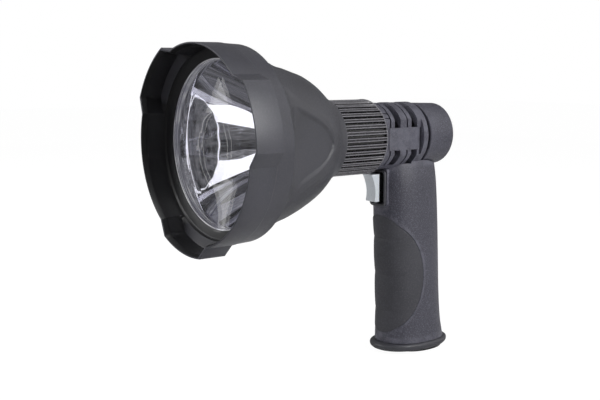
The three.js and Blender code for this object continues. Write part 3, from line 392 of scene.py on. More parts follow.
def useModifier(piece, kind, **settings):
    modifier = piece.modifiers.new(kind, kind)
    for key, value in settings.items():
        setattr(modifier, key, value)
    pick(piece)
    bpy.ops.object.modifier_apply(modifier=modifier.name)


def softenEdges(piece, width, steps, angle):
    useModifier(piece, "BEVEL", width=width * mm, segments=steps, limit_method="ANGLE",
                angle_limit=math.radians(angle), use_clamp_overlap=True, miter_outer="MITER_ARC")


def combine(piece, other, way):
    useModifier(piece, "BOOLEAN", object=other, operation=way, solver="EXACT")
    bpy.data.objects.remove(other, do_unlink=True)


def cut(piece, other):
    combine(piece, other, "DIFFERENCE")


def turnedPiece(name, outline, sides, uprightAt=None):
    # outline: radius and level of each corner, along the beam or up an axis at the depth uprightAt
    def spot(radius, level):
        return at(radius, level, 0) if uprightAt is None else at(radius, uprightAt, level)

    clearSelection()
    bpy.ops.mesh.primitive_plane_add(size=mm, location=spot(*outline[0]))
    piece = startPiece(name)
    openMesh()
    bpy.ops.mesh.merge(type="CENTER")
    closed = outline[0][0] > 0
    last = spot(*outline[0])
    for corner in outline[1:] + outline[:1] * closed:
        bpy.ops.mesh.extrude_vertices_move(TRANSFORM_OT_translate={"value": spot(*corner) - last})
        last = spot(*corner)
    bpy.ops.mesh.select_all(action="SELECT")
    axis = (0, 1, 0) if uprightAt is None else (0, 0, 1)
    bpy.ops.mesh.spin(steps=sides, angle=math.tau, center=spot(0, 0), axis=axis)
    bpy.ops.object.mode_set(mode="OBJECT")
    tidyMesh(piece)
    return piece


def roundCorners(outline, size, steps=3, closed=True):
    spots = []
    count = len(outline)
    for k, here in enumerate(outline):
        if not closed and k in (0, count - 1):
            spots.append(here)
            continue
        before, after = outline[k - 1], outline[(k + 1) % count]
        ends = []
        for far in (before, after):
            reach = math.dist(here, far)
            share = min(size, 0.45 * reach) / reach
            ends.append([a + (b - a) * share for a, b in zip(here, far)])
        for step in range(steps + 1):
            t = step / steps
            spots.append(tuple((1 - t) ** 2 * a + 2 * t * (1 - t) * b + t * t * c
                               for a, b, c in zip(ends[0], here, ends[1])))
    return spots


def smoothRun(stops, steps):     # a soft line through the stops
    spots = []
    last = len(stops) - 1
    for k in range(last):
        around = (stops[max(k - 1, 0)], stops[k], stops[k + 1], stops[min(k + 2, last)])
        for step in range(steps):
            t = step / steps
            spots.append(tuple(0.5 * (2 * b + (c - a) * t + (2 * a - 5 * b + 4 * c - d) * t * t
                                      + (3 * b - a - 3 * c + d) * t ** 3) for a, b, c, d in zip(*around)))
    return spots + [tuple(stops[-1])]


def blockPiece(name, x, depth, height):      # each a pair of limits
    low, high = at(x[0], depth[0], height[0]), at(x[1], depth[1], height[1])
    clearSelection()
    bpy.ops.mesh.primitive_cube_add(size=1, location=(low + high) / 2, scale=high - low)
    return startPiece(name)


def platePiece(name, reach, depth, height, corner):      # block with its edges along the beam rounded
    piece = blockPiece(name, (-reach, reach), depth, height)
    pick(piece)
    bpy.ops.object.mode_set(mode="EDIT")
    bpy.ops.mesh.select_mode(type="EDGE")
    bpy.ops.mesh.select_all(action="DESELECT")
    mesh = bmesh.from_edit_mesh(piece.data)
    for edge in mesh.edges:
        run = (edge.verts[0].co - edge.verts[1].co).normalized()
        edge.select = abs(run.y) > 0.99
    mesh.select_flush_mode()
    bmesh.update_edit_mesh(piece.data)
    bpy.ops.mesh.bevel(offset=corner * mm, offset_type="OFFSET", segments=6)
    bpy.ops.mesh.select_mode(type="VERT")
    bpy.ops.object.mode_set(mode="OBJECT")
    return piece


def sidePrism(name, spots, reach):       # spots: depth and height of each corner
    clearSelection()
    bpy.ops.mesh.primitive_circle_add(vertices=len(spots), radius=mm, fill_type="NGON")
    piece = startPiece(name)
    for vertex, (depth, height) in zip(piece.data.vertices, spots):
        vertex.co = at(-reach, depth, height)
    openMesh()
    bpy.ops.mesh.extrude_region_move(TRANSFORM_OT_translate={"value": (2 * reach * mm, 0, 0)})
    bpy.ops.mesh.select_all(action="SELECT")
    bpy.ops.mesh.normals_make_consistent(inside=False)
    bpy.ops.object.mode_set(mode="OBJECT")
    return piece


def stackedPiece(name, rings, sides, squareness):
    # rings from one end to the other: height, middle depth, half depth, half width
    height, middle, halfDepth, halfWidth = rings[0]
    start = at(0, middle, height)
    clearSelection()
    bpy.ops.mesh.primitive_circle_add(vertices=sides, radius=1, fill_type="NGON", location=start)
    piece = startPiece(name)
    openMesh()
    bpy.ops.transform.resize(value=(halfWidth * mm, halfDepth * mm, 1), center_override=start)
    for ring in rings[1:]:
        lift = (0, (ring[1] - middle) * mm, (ring[0] - height) * mm)
        bpy.ops.mesh.extrude_region_move(TRANSFORM_OT_translate={"value": lift})
        bpy.ops.transform.resize(value=(ring[3] / halfWidth, ring[2] / halfDepth, 1),
                                 center_override=at(0, ring[1], ring[0]))
        height, middle, halfDepth, halfWidth = ring
    bpy.ops.object.mode_set(mode="OBJECT")
    power = 2 / squareness
    for k, vertex in enumerate(piece.data.vertices):      # press each ring towards its squarer outline
        ring = rings[k // sides]
        centre = at(0, ring[1], ring[0])
        across = (vertex.co.x - centre.x) / (ring[3] * mm)
        along = (vertex.co.y - centre.y) / (ring[2] * mm)
        vertex.co.x = centre.x + math.copysign(abs(across) ** power, across) * ring[3] * mm
        vertex.co.y = centre.y + math.copysign(abs(along) ** power, along) * ring[2] * mm
    tidyMesh(piece)
    return piece


def rodPiece(name, radius, ends, depth=0, height=0, way="side", sides=48):
    turn = {"side": (0, math.radians(90), 0), "beam": (math.radians(90), 0, 0), "up": (0, 0, 0)}[way]
    middle = (ends[0] + ends[1]) / 2
    spot = {"side": (middle, depth, height), "beam": (0, middle, height), "up": (0, depth, middle)}[way]
    clearSelection()
    bpy.ops.mesh.primitive_cylinder_add(vertices=sides, radius=radius * mm, depth=(ends[1] - ends[0]) * mm,
                                        location=at(*spot), rotation=turn)
    return startPiece(name)


def pressPiece(piece, shareAt):      # scales each vertex about the beam by the share at its x, z and depth
    beam = at(0, 0, 0)
    for vertex in piece.data.vertices:
        x, depth, z = (vertex.co - beam) / mm
        share = shareAt(x, z, depth)
        if share != 1:
            vertex.co.x = beam.x + x * share * mm
            vertex.co.z = beam.z + z * share * mm


def fit(piece, smoothAngle, body, slotName, finish, *stoodFor):
    pick(piece)
    bpy.ops.object.shade_smooth_by_angle(angle=math.radians(smoothAngle))
    piece.data.materials.clear()
    piece.data.materials.append(finishes[finish])
    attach(piece, body)
    if stoodFor:
        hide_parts(*stoodFor)


def angleFrom(x, z, centre):      # degrees between a spot round the beam and a centre line
    return abs((math.degrees(math.atan2(z, x)) - centre + 180) % 360 - 180)


# Bezel
bezel = {
    "radius": 60, "lobeRadius": 66, "backRadius": 59.7, "endRadius": 59.1, "length": 30.5, "bore": 56,
    "lobeLength": 18, "lobeCentres": (18, 138, 258), "lobeHalf": 18, "facetHalf": 26,
    "hoodRadius": 57.9, "hoodFloor": 57, "hoodLobe": 64, "hoodHalf": 16.6, "hoodFacetHalf": 25,
    "hoodDepth": 12.9, "floorDepth": 15.2, "ring": (56.2, 16.5), "lip": 1.1, "lipRun": 3,
    "opening": 50.9, "openingFront": 17.5, "seat": 53.3, "seatFront": 18.4, "seatBack": 24.2,
    "sides": 360, "edge": 0.35,
}


def lobedRadius(offset, low, high, half, facetHalf):
    if offset <= half:
        return high
    if offset >= facetHalf:
        return low
    start = (high * math.cos(math.radians(half)), high * math.sin(math.radians(half)))
    end = (low * math.cos(math.radians(facetHalf)), low * math.sin(math.radians(facetHalf)))
    run = (end[0] - start[0], end[1] - start[1])
    ray = (math.cos(math.radians(offset)), math.sin(math.radians(offset)))
    return (start[0] * run[1] - start[1] * run[0]) / (ray[0] * run[1] - ray[1] * run[0])


def makeBezel():
    b = bezel
    outline = roundCorners([
        (b["radius"], 0), (b["radius"], b["lobeLength"]), (b["backRadius"], b["lobeLength"] + 0.5),
        (b["endRadius"], b["length"]), (b["bore"], b["length"]), (b["bore"], b["seatBack"]),
        (b["seat"], b["seatBack"]), (b["seat"], b["seatFront"]), (b["opening"], b["seatFront"]),
        (b["opening"], b["openingFront"]), b["ring"], (b["hoodFloor"], b["floorDepth"]),
        (b["hoodFloor"] + 0.2, b["hoodDepth"]), (b["hoodRadius"] - 0.2, b["lipRun"]),
        (b["hoodRadius"] + b["lip"], 0),
    ], b["edge"])

    def lobes(x, z, depth):
        radius = math.hypot(x, z)
        offset = min(angleFrom(x, z, centre) for centre in b["lobeCentres"])
        if radius > b["hoodRadius"] + b["lip"] - 0.02 and depth < b["lobeLength"] + 0.1:
            wanted = lobedRadius(offset, b["radius"], b["lobeRadius"], b["lobeHalf"], b["facetHalf"])
            return wanted / b["radius"]
        if depth < b["hoodDepth"] + 0.4 and radius < b["hoodRadius"] + b["lip"]:
            wanted = lobedRadius(offset, b["hoodRadius"], b["hoodLobe"], b["hoodHalf"], b["hoodFacetHalf"])
            return wanted / b["hoodRadius"]
        return 1

    piece = turnedPiece("bezel_shell", outline, b["sides"])
    pressPiece(piece, lobes)
    fit(piece, 22, "handle", "casing", "hood", "bezel")


makeBezel()
print("bezel: made")


# Glass, gasket and reflector
optics = {
    "lensRadius": 51.9, "lensFront": 18.8, "lensBack": 22, "lensEdge": 0.4,
    "gasketOuter": 53, "gasketInner": 50.4, "gasketFront": 18.45, "gasketBack": 24.3, "lip": 0.3,
    "bead": (49.7, 23.7),
    "focalLength": 12, "vertexDepth": 77.0, "rim": 50.2, "flange": 55.7, "rimFront": 24.5, "rimBack": 26,
    "hole": 10, "neck": 12.4, "neckEnd": 83, "wall": 2.2, "bowlSteps": 40, "sides": 192,
}


def makeLens():
    o = optics
    edge = o["lensEdge"]
    radius, front, back = o["lensRadius"], o["lensFront"], o["lensBack"]
    outline = [(0, front), (radius - edge, front), (radius, front + edge),
               (radius, back - edge), (radius - edge, back), (0, back)]
    piece = turnedPiece("lens_disc", outline, o["sides"])
    fit(piece, 20, "handle", "glass", "glass", "lens_glass")


def makeGasket():
    o = optics
    beadRadius, beadFront = o["bead"]
    glassRoom = o["lensRadius"] + 0.1
    outline = [(o["gasketInner"], o["gasketFront"]), (o["gasketOuter"], o["gasketFront"]),
               (o["gasketOuter"], o["gasketBack"]), (beadRadius, o["gasketBack"]), (beadRadius, beadFront),
               (o["gasketInner"] + 0.1, beadFront - 0.5), (o["gasketInner"], o["lensBack"] + 0.1),
               (glassRoom, o["lensBack"] + 0.1), (glassRoom, o["gasketFront"] + o["lip"]),
               (o["gasketInner"], o["gasketFront"] + o["lip"])]
    piece = turnedPiece("gasket_ring", roundCorners(outline, 0.2, 2), o["sides"])
    fit(piece, 32, "handle", "rubber", "silicone", "lens_gasket")


def makeReflector():
    o = optics

    def bowl(radius, shift):
        return radius, o["vertexDepth"] + shift - radius ** 2 / (4 * o["focalLength"])

    steps = o["bowlSteps"]
    inside = [bowl(o["rim"] + (o["hole"] - o["rim"]) * k / steps, 0) for k in range(steps + 1)]
    outside = [bowl(o["neck"] + (o["rim"] - o["neck"]) * k / steps, o["wall"]) for k in range(steps + 1)]
    outline = inside + [(o["hole"], o["neckEnd"]), (o["neck"], o["neckEnd"])] + outside
    front, back = o["rimFront"], o["rimBack"]
    outline += [(o["rim"] + 0.3, back), (o["flange"], back), (o["flange"], front),
                (o["rim"] + 0.9, front), (o["rim"] + 0.6, front - 0.25), (o["rim"] + 0.2, front - 0.2)]
    piece = turnedPiece("reflector_bowl", outline, o["sides"])
    fit(piece, 30, "handle", "mirror", "mirror", "reflector")


makeLens()
makeGasket()
makeReflector()
print("optics: made")


# Head housing
housing = {
    "radius": 57.5, "endRadius": 26.2, "front": 30.8, "end": 96.6, "wall": 2.6,
    "rearWall": 2.2, "rearHole": 18, "rearInner": 24.3,
    "tubeOuter": 55.7, "tubeInner": 51.7, "tubeFront": 26.3, "tubeEnd": 34.8,
    "reach": (0, 0.17, 0.35, 0.53, 0.71, 0.89, 1), "width": (1, 0.856, 0.722, 0.578, 0.396, 0.128, 0),
    "sides": 360, "steps": 15, "insideSteps": 5,
}
scoop = {
    "turns": (0, 90, 180, 270), "tip": 74.8, "halfWidth": 33, "wallShare": 0.12, "leastWall": 1.8,
    "rimWidth": 5, "rimDip": 0.8,
    "reach": (0, 0.1, 0.22, 0.4, 0.58, 0.75, 0.88, 0.97, 1),
    "width": (1, 0.93, 0.82, 0.66, 0.55, 0.43, 0.3, 0.14, 0),
    "floor": (55, 50.3, 46.8, 44.3, 42.5, 41, 39.8, 38.9, 38.6),
}


def tableValue(value, stops, values):
    for k in range(len(stops) - 1):
        if value <= stops[k + 1]:
            t = (value - stops[k]) / (stops[k + 1] - stops[k])
            return values[k] + (values[k + 1] - values[k]) * max(t, 0)
    return values[-1]


scoopRun = smoothRun(list(zip(scoop["reach"], scoop["width"], scoop["floor"])), 8)
scoopStops = [spot[0] for spot in scoopRun]
scoopWidths = [spot[1] for spot in scoopRun]
scoopFloors = [spot[2] for spot in scoopRun]


def scoopPress(radius, depth, x, z):      # how far the dome is pressed in at a spot
    reach = scoop["tip"] - housing["front"]
    share = (depth - housing["front"]) / reach
    offset = math.radians(min(angleFrom(x, z, turn) for turn in scoop["turns"]))
    side = radius * math.sin(offset)
    rimReach = scoop["rimWidth"] / reach
    halfWidth = scoop["halfWidth"] * tableValue(min(share, 1), scoopStops, scoopWidths)
    outside = math.hypot(max(side - halfWidth, 0), max(share - 1, 0) * reach)
    rim = min(max(1 - outside / scoop["rimWidth"], 0), 1)
    dip = scoop["rimDip"] * rim * rim * (3 - 2 * rim) * min(share / rimReach, 1)
    if share >= 1:
        return dip
    wall = max(scoop["wallShare"] * halfWidth, scoop["leastWall"])
    inside = min(max((halfWidth - side) / wall, 0), 1)
    ease = inside * inside * (3 - 2 * inside)
    floor = max(radius - tableValue(share, scoopStops, scoopFloors) / math.cos(offset), dip)
    return dip + (floor - dip) * ease


def makeHousing():
    h = housing
    run = h["end"] - h["front"]
    stops = [(h["endRadius"] + (h["radius"] - h["endRadius"]) * w, h["front"] + run * r)
             for r, w in zip(h["reach"], h["width"])]
    outside = smoothRun(stops, h["steps"])
    inside = [(r - h["wall"], d) for r, d in smoothRun(stops, h["insideSteps"])]
    rearFace = h["end"] - h["rearWall"]
    inside = [spot for spot in inside if h["tubeEnd"] < spot[1] < rearFace - 0.5]
    outline = [(h["tubeInner"], h["tubeFront"]), (h["tubeOuter"], h["tubeFront"])]
    outline += [(h["tubeOuter"], h["front"] - 0.3)] + outside
    outline += [(h["rearHole"], h["end"]), (h["rearHole"], rearFace), (h["rearInner"], rearFace)]
    outline += inside[::-1] + [(h["tubeInner"], h["tubeEnd"])]
    domeStops = [d for r, d in outside]
    domeRadii = [r for r, d in outside]

    def scoops(x, z, depth):
        if not h["front"] - 0.1 < depth < scoop["tip"] + scoop["rimWidth"]:
            return 1
        radius = math.hypot(x, z)
        return (radius - scoopPress(tableValue(depth, domeStops, domeRadii), depth, x, z)) / radius

    piece = turnedPiece("housing_dome", outline, h["sides"])
    pressPiece(piece, scoops)
    fit(piece, 40, "handle", "casing", "casing", "head_housing")


makeHousing()
print("housing: made")


# Focus collar
collar = {
    "front": 97.2, "back": 132.3, "bore": 19.8, "root": 23, "rib": 24.6, "rim": 24.8,
    "rimWidth": 0.8, "edge": 0.35, "ribs": 36, "sides": 720,
    "stops": (0, 0.5, 1, 1.5, 2, 2.5, 3, 3.5, 5),
    "crest": (23.85, 23.9, 24.3, 24.6, 24.6, 24.6, 24.3, 23, 23),
}


def makeCollar():
    c = collar
    front, back, rim, rib, edge = c["front"], c["back"], c["rim"], c["rib"], c["edge"]
    first, last = front + c["rimWidth"], back - c["rimWidth"]
    outline = [(c["bore"], front), (rim - edge, front), (rim, front + edge), (rim, first - 0.1), (rib, first),
               (rib, first + 0.4), (rib, last - 0.4), (rib, last), (rim, last + 0.1), (rim, back - edge),
               (rim - edge, back), (c["bore"], back)]
    pitch = 360 / c["ribs"]

    def ribs(x, z, depth):
        if not first + 0.2 < depth < last - 0.2 or math.hypot(x, z) < c["root"]:
            return 1
        angle = math.degrees(math.atan2(z, x))
        offset = abs((angle + pitch / 2) % pitch - pitch / 2)
        return tableValue(offset, c["stops"], c["crest"]) / rib

    piece = turnedPiece("focus_ring", outline, c["sides"])
    pressPiece(piece, ribs)
    fit(piece, 28, "collar", "casing", "ribbed", "focus_collar")


makeCollar()
print("collar: made")


# Heat sink
sink = {
    "bore": 9.3, "boreEnd": 124.5, "nose": 12.4, "noseFront": 83.3, "flange": 24, "flangeFront": 90.5,
    "flangeBack": 94.1, "radius": 17.6, "core": 12.5, "end": 165, "pocket": 9.6, "pocketFront": 157.5,
    "slotFronts": (138.7, 153.7), "slotLength": 9.6, "discLead": 2.2, "discThickness": 4.3, "edge": 0.4,
    "clamp": (134, 138, 16.2), "pin": (108.05, 116.95, 1.95), "sides": 128,
}


def makeHeatSink():
    s = sink
    clampFront, clampBack, clampRadius = s["clamp"]
    radius, core, edge = s["radius"], s["core"], s["edge"]
    outline = [(0, s["boreEnd"]), (s["bore"], s["boreEnd"]), (s["bore"], s["noseFront"]),
               (s["nose"], s["noseFront"]), (s["nose"], s["flangeFront"]), (s["flange"], s["flangeFront"]),
               (s["flange"], s["flangeBack"]), (radius, s["flangeBack"]), (radius, clampFront),
               (clampRadius, clampFront), (clampRadius, clampBack), (radius, clampBack)]
    for front in s["slotFronts"]:
        discFront = front + s["discLead"]
        discBack = discFront + s["discThickness"]
        back = front + s["slotLength"]
        outline += [(radius, front), (core, front), (core, discFront), (radius - edge, discFront),
                    (radius, discFront + edge), (radius, discBack - edge), (radius - edge, discBack),
                    (core, discBack), (core, back), (radius, back)]
    outline += [(radius, s["end"]), (s["pocket"], s["end"]), (s["pocket"], s["pocketFront"]),
                (0, s["pocketFront"])]
    piece = turnedPiece("heat_sink_fins", outline, s["sides"])
    pinFront, pinBack, pinHalf = s["pin"]
    cut(piece, blockPiece("pinRoom", (-pinHalf, pinHalf), (pinFront, pinBack), (8, 20)))
    fit(piece, 32, "handle", "alloy", "alloy", "heat_sink")


makeHeatSink()
print("heat sink: made")


# Handle shells
barrel = {
    "front": 132.6, "radius": 22.3, "end": 171.3, "bore": 18, "rearWall": 3, "bush": 4.1,
    "spigot": 19.4, "spigotFront": 97.7, "flat": 19, "flatEnd": 166.9,
    "panel": 19.5, "panelHeights": (-8.5, 6.2), "panelDepths": (138, 165.2),
    "slotFronts": (138.7, 153.7), "slotLength": 9.6, "slotInner": 17.7, "slotBottom": -18.5, "sides": 144,
    "frontEdge": 0.4, "rearEdge": 0.6, "softness": 0.3, "ring": (1.3, 4.4, 22.1),
    "gap": ((165.4, 166.9), (-12, 6)), "outside": 40,
}
grip = {
    "stations": (-14, -20, -26, -34, -46, -66, -88, -110, -128, -136, -142),
    "fronts": (149, 147.8, 147.2, 147, 147.5, 148.4, 149.5, 150.4, 150.9, 150.9, 150.9),
    "rears": (193.2, 193.6, 194.2, 194.8, 195.6, 196.7, 197.6, 198.6, 200.1, 201.5, 202.8),
    "halfWidths": (14, 14.9, 16, 16.9, 17.3, 17.5, 17.6, 17.7, 18.1, 18.6, 19.1),
    "top": -14, "bottom": -142, "squareness": 2.25, "sides": 128, "wall": 4.3, "cavityTop": -24,
    "knobRoom": 22.1, "seam": 0.08, "levels": 48,
}
insert = {
    "thickness": 2.1, "middle": -95.9, "tip": 172.7, "radius": 42.4, "flankAngle": 55, "flankSlope": 1.05,
    "front": 135, "arcSteps": 48, "top": -47.5, "bottom": -141.7, "gap": 0.3, "levels": 110, "sides": 160,
    "pitch": 25, "firstNotch": -69.7, "waveHeight": 1.8, "waveDip": 0.9, "waveSharpness": 0.55,
    "waveMiddle": 173.9, "edge": 0.35,
}
triggerFrame = {
    "front": 145.2, "thickness": 1.6, "halfWidth": 7.6, "top": -22.7, "bottom": -47.2, "corner": 3,
    "openingHalf": 6.1, "openingTop": -24.4, "openingBottom": -45.6, "openingCorner": 2, "openingBack": 155,
    "bossTop": -21, "bossBack": 152, "gap": 0.3, "edge": 0.45,
}
screws = {
    "depths": (176.5, 177.5, 196.4), "heights": (-63.2, -28.5, -121), "seat": -6, "head": 2.3,
    "headHeight": 1.6, "length": 14, "shank": 1.25, "well": 2.7, "cross": (1.5, 0.35), "crossDepth": 0.9,
}

gripStops = list(zip(grip["stations"], grip["fronts"], grip["rears"], grip["halfWidths"]))
gripHeights, *gripSides = zip(*smoothRun(gripStops, 6))
gripDrops = [-height for height in gripHeights]


def gripRing(height, inset=0):
    front, rear, halfWidth = [tableValue(-height, gripDrops, values) for values in gripSides]
    return height, (front + rear) / 2, (rear - front) / 2 - inset, halfWidth - inset


def gripStack(name, inset, top, bottom, levels):
    rings = [gripRing(bottom + (top - bottom) * k / levels, inset) for k in range(levels + 1)]
    return stackedPiece(name, rings, grip["sides"], grip["squareness"])


def insertPrism(name, grow):
    i = insert
    radius = i["radius"] + grow
    centre = i["tip"] - i["radius"]
    turn = math.radians(i["flankAngle"])
    rise = radius * math.sin(turn) + (centre + radius * math.cos(turn) - i["front"]) * i["flankSlope"]
    spots = [(i["front"], i["middle"] - rise)]
    for k in range(i["arcSteps"] + 1):
        angle = turn * (2 * k / i["arcSteps"] - 1)
        spots.append((centre + radius * math.cos(angle), i["middle"] + radius * math.sin(angle)))
    spots.append((i["front"], i["middle"] + rise))
    return sidePrism(name, spots, 40)


def slotCutter(front):
    b = barrel
    back, inner, outer = front + b["slotLength"], b["slotInner"], b["outside"]
    ringFront, ringBack, ringRadius = front + b["ring"][0], front + b["ring"][1], b["ring"][2]
    cutter = turnedPiece("slotCutter", [
        (inner, front), (outer, front), (outer, back), (inner, back), (inner, ringBack),
        (ringRadius, ringBack), (ringRadius, ringFront), (inner, ringFront),
    ], b["sides"])
    for name, heights in (("slotEnd", (-45, b["slotBottom"])), ("slotBar", b["panelHeights"])):
        cut(cutter, blockPiece(name, (-45, 45), (front - 1, back + 1), heights))
    return cutter


def sideBlock(name, side, near, far, depth, height):      # near and far: distances from the middle plane
    return blockPiece(name, sorted((side * near, side * far)), depth, height)


def makeHandle():      # plain numbers in a cutter only carry it past what it cuts
    b, g, t, s = barrel, grip, triggerFrame, screws
    rearFace = b["end"] - b["rearWall"]
    radius, end, frontEdge, rearEdge = b["radius"], b["end"], b["frontEdge"], b["rearEdge"]
    tube = turnedPiece("handleBody", [
        (b["bore"], b["spigotFront"]), (b["spigot"], b["spigotFront"]), (b["spigot"], b["front"]),
        (radius - frontEdge, b["front"]), (radius, b["front"] + frontEdge), (radius, end - rearEdge),
        (radius - rearEdge, end), (b["bush"], end), (b["bush"], rearFace), (b["bore"], rearFace),
    ], b["sides"])
    for side in (-1, 1):
        depths = (b["front"] - 1, b["flatEnd"])
        cut(tube, sideBlock("flatCutter", side, b["flat"], b["outside"], depths, (-30, 30)))
    body = gripStack("gripBody", 0, g["top"], g["bottom"], g["levels"])
    for name, room, ends in (("knobRoom", g["knobRoom"], (end, 220)),
                             ("boreRoom", b["bore"], (b["front"] + 1, rearFace))):
        cut(body, rodPiece(name, room, ends, way="beam", sides=b["sides"]))
    frameBack = t["front"] + t["thickness"] + t["gap"]
    boss = platePiece("boss", t["halfWidth"], (frameBack, t["bossBack"]),
                      (t["bottom"], t["bossTop"]), t["corner"])
    combine(body, boss, "UNION")
    room = platePiece("frameRoom", t["halfWidth"] + t["gap"], (130, frameBack),
                      (t["bottom"] - t["gap"], t["top"] + t["gap"]), t["corner"])
    cut(body, room)
    combine(tube, body, "UNION")
    for front in reversed(b["slotFronts"]):
        cut(tube, slotCutter(front))
    for side in (-1, 1):
        panel = sideBlock("panel", side, b["bore"] - 0.3, b["panel"], b["panelDepths"], b["panelHeights"])
        combine(tube, panel, "UNION")
        cut(tube, sideBlock("panelGap", side, 15, b["outside"], *b["gap"]))
    cut(tube, gripStack("cavity", g["wall"], g["cavityTop"], g["bottom"] - 1, 24))
    opening = platePiece("opening", t["openingHalf"], (130, t["openingBack"]),
                         (t["openingBottom"], t["openingTop"]), t["openingCorner"])
    cut(tube, opening)
    recess = insertPrism("recess", insert["gap"])
    limit = blockPiece("recessLimit", (-60, 60), (100, 240), (g["bottom"] + 1, t["bottom"] - 1))
    combine(recess, limit, "INTERSECT")
    inset = insert["thickness"] + insert["gap"]
    core = gripStack("recessCore", inset, g["top"], g["bottom"] - 1, g["levels"])
    cut(recess, core)
    cut(tube, recess)
    pinFront, pinBack, pinHalf = sink["pin"]
    cut(tube, blockPiece("pinRoom", (-pinHalf, pinHalf), (pinFront, pinBack), (15, 21)))
    for depth, height in zip(s["depths"], s["heights"]):
        cut(tube, rodPiece("screwWell", s["well"], (-30, s["seat"]), depth, height))
    softenEdges(tube, b["softness"], 2, 40)
    other = tube.copy()
    other.data = tube.data.copy()
    bpy.context.scene.collection.objects.link(other)
    for half, name, side, stoodFor in ((tube, "handle_left_half", 1, "handle_shell_left"),
                                       (other, "handle_right_half", -1, "handle_shell_right")):
        half.name = half.data.name = name
        pick(half)
        openMesh()
        bpy.ops.mesh.bisect(plane_co=(side * g["seam"] * mm, 0, 0), plane_no=(side, 0, 0), use_fill=True,
                            clear_inner=True)
        bpy.ops.object.mode_set(mode="OBJECT")
        fit(half, 32, "handle", "casing", "grained", stoodFor)


makeHandle()
print("handle: made")


# Soft grip insert
def makeInsert():
    i = insert
    run, levels = i["top"] - i["bottom"], i["levels"]
    rings = [gripRing(i["bottom"] + run * k / levels) for k in range(levels + 1)]
    piece = stackedPiece("grip_pad", rings, i["sides"], grip["squareness"])
    middle = at(0, i["waveMiddle"], 0).y
    reach = middle - at(0, triggerFrame["front"], 0).y
    for vertex in piece.data.vertices:
        height = vertex.co.z / mm - lamp["beamHeight"]
        phase = abs(math.sin(math.pi * (height - i["firstNotch"]) / i["pitch"]))
        wave = i["waveHeight"] * phase ** i["waveSharpness"] - i["waveDip"]
        share = max(0, (middle - vertex.co.y) / reach)
        vertex.co.y -= wave * share * share * mm
    core = gripStack("padCore", i["thickness"], grip["top"], grip["bottom"] - 1, grip["levels"])
    cut(piece, core)
    combine(piece, insertPrism("padShape", 0), "INTERSECT")
    softenEdges(piece, i["edge"], 2, 50)
    fit(piece, 35, "handle", "soft_grip", "softGrip", "grip_insert")


makeInsert()
print("insert: made")


# Trigger and its frame
trigger = {
    "halfWidth": 4.5, "top": -25.2, "bottom": -43.7, "frontTop": 136.2, "frontMiddle": 139.6,
    "frontBottom": 139.2, "back": 152.5, "edge": 0.8, "steps": 16, "pivot": (152.5, -28.6), "eye": 3.2,
    "pin": 1.55, "springRoom": 3, "springHalf": 2, "stem": (143.2, 149, 3.1),
}


def makeTrigger():
    t = trigger
    middle = (t["top"] + t["bottom"]) / 2
    pull = t["frontMiddle"] * 2 - (t["frontTop"] + t["frontBottom"]) / 2
    spots = []
    for k in range(t["steps"] + 1):
        s = k / t["steps"]
        spots.append(tuple((1 - s) ** 2 * a + 2 * s * (1 - s) * b + s * s * c for a, b, c in zip(
            (t["frontTop"], t["top"]), (pull, middle), (t["frontBottom"], t["bottom"] + t["edge"]))))
    spots += [(t["frontBottom"] + t["edge"], t["bottom"]), (t["back"] - t["edge"], t["bottom"]),
              (t["back"], t["bottom"] + t["edge"]), (t["back"], t["top"])]
    piece = sidePrism("trigger_lever", spots, t["halfWidth"])
    depth, height = t["pivot"]
    eye = rodPiece("eye", t["eye"], (-t["halfWidth"], t["halfWidth"]), depth, height)
    combine(piece, eye, "UNION")
    cut(piece, rodPiece("pinHole", t["pin"], (-9, 9), depth, height))
    room = blockPiece("springRoom", (-t["springHalf"], t["springHalf"]),
                      (depth - t["springRoom"], depth + t["eye"] + 1),
                      (height - t["springRoom"], t["top"] + 1))
    cut(piece, room)
    stemFront, stemBack, stemHalf = t["stem"]
    for side in (-1, 1):
        stemSide = sideBlock("stemSide", side, stemHalf, 9, (stemFront, stemBack), (-60, 0))
        cut(piece, stemSide)
    softenEdges(piece, t["edge"], 4, 40)
    fit(piece, 35, "trigger", "trigger", "trigger", "trigger")


def makeTriggerFrame():
    t = triggerFrame
    piece = platePiece("trigger_surround", t["halfWidth"], (t["front"], t["front"] + t["thickness"]),
                       (t["bottom"], t["top"]), t["corner"])
    opening = platePiece("opening", t["openingHalf"], (t["front"] - 5, t["front"] + 5),
                         (t["openingBottom"], t["openingTop"]), t["openingCorner"])
    cut(piece, opening)
    softenEdges(piece, t["edge"], 3, 40)
    fit(piece, 32, "handle", "casing", "casing", "trigger_frame")


makeTrigger()
makeTriggerFrame()
print("trigger: made")


# Base cap, foot and port plug
base = {
    "halfWidth": 20.5, "halfLength": 30.2, "middle": 176.4, "squareness": 2.2,
    "underside": -147.1, "top": -142.3, "rise": (0, 0.28, 0.6, 0.85, 1),
    "width": (0.935, 0.985, 1, 0.985, 0.94),
    "footHalfWidth": 15.6, "footHalfLength": 20.5, "footMiddle": 182.5, "footTop": -146, "footBottom": -150,
    "plugInset": 4.6, "plugInTop": -138.3, "plugInWall": 1.8, "floor": -141.3,
    "port": 190.5, "portRadius": 6.2, "portBottom": -149.7, "portTop": -147.3, "stem": (1, 3.7, 4),
    "socket": (2.1, 4.8),
}


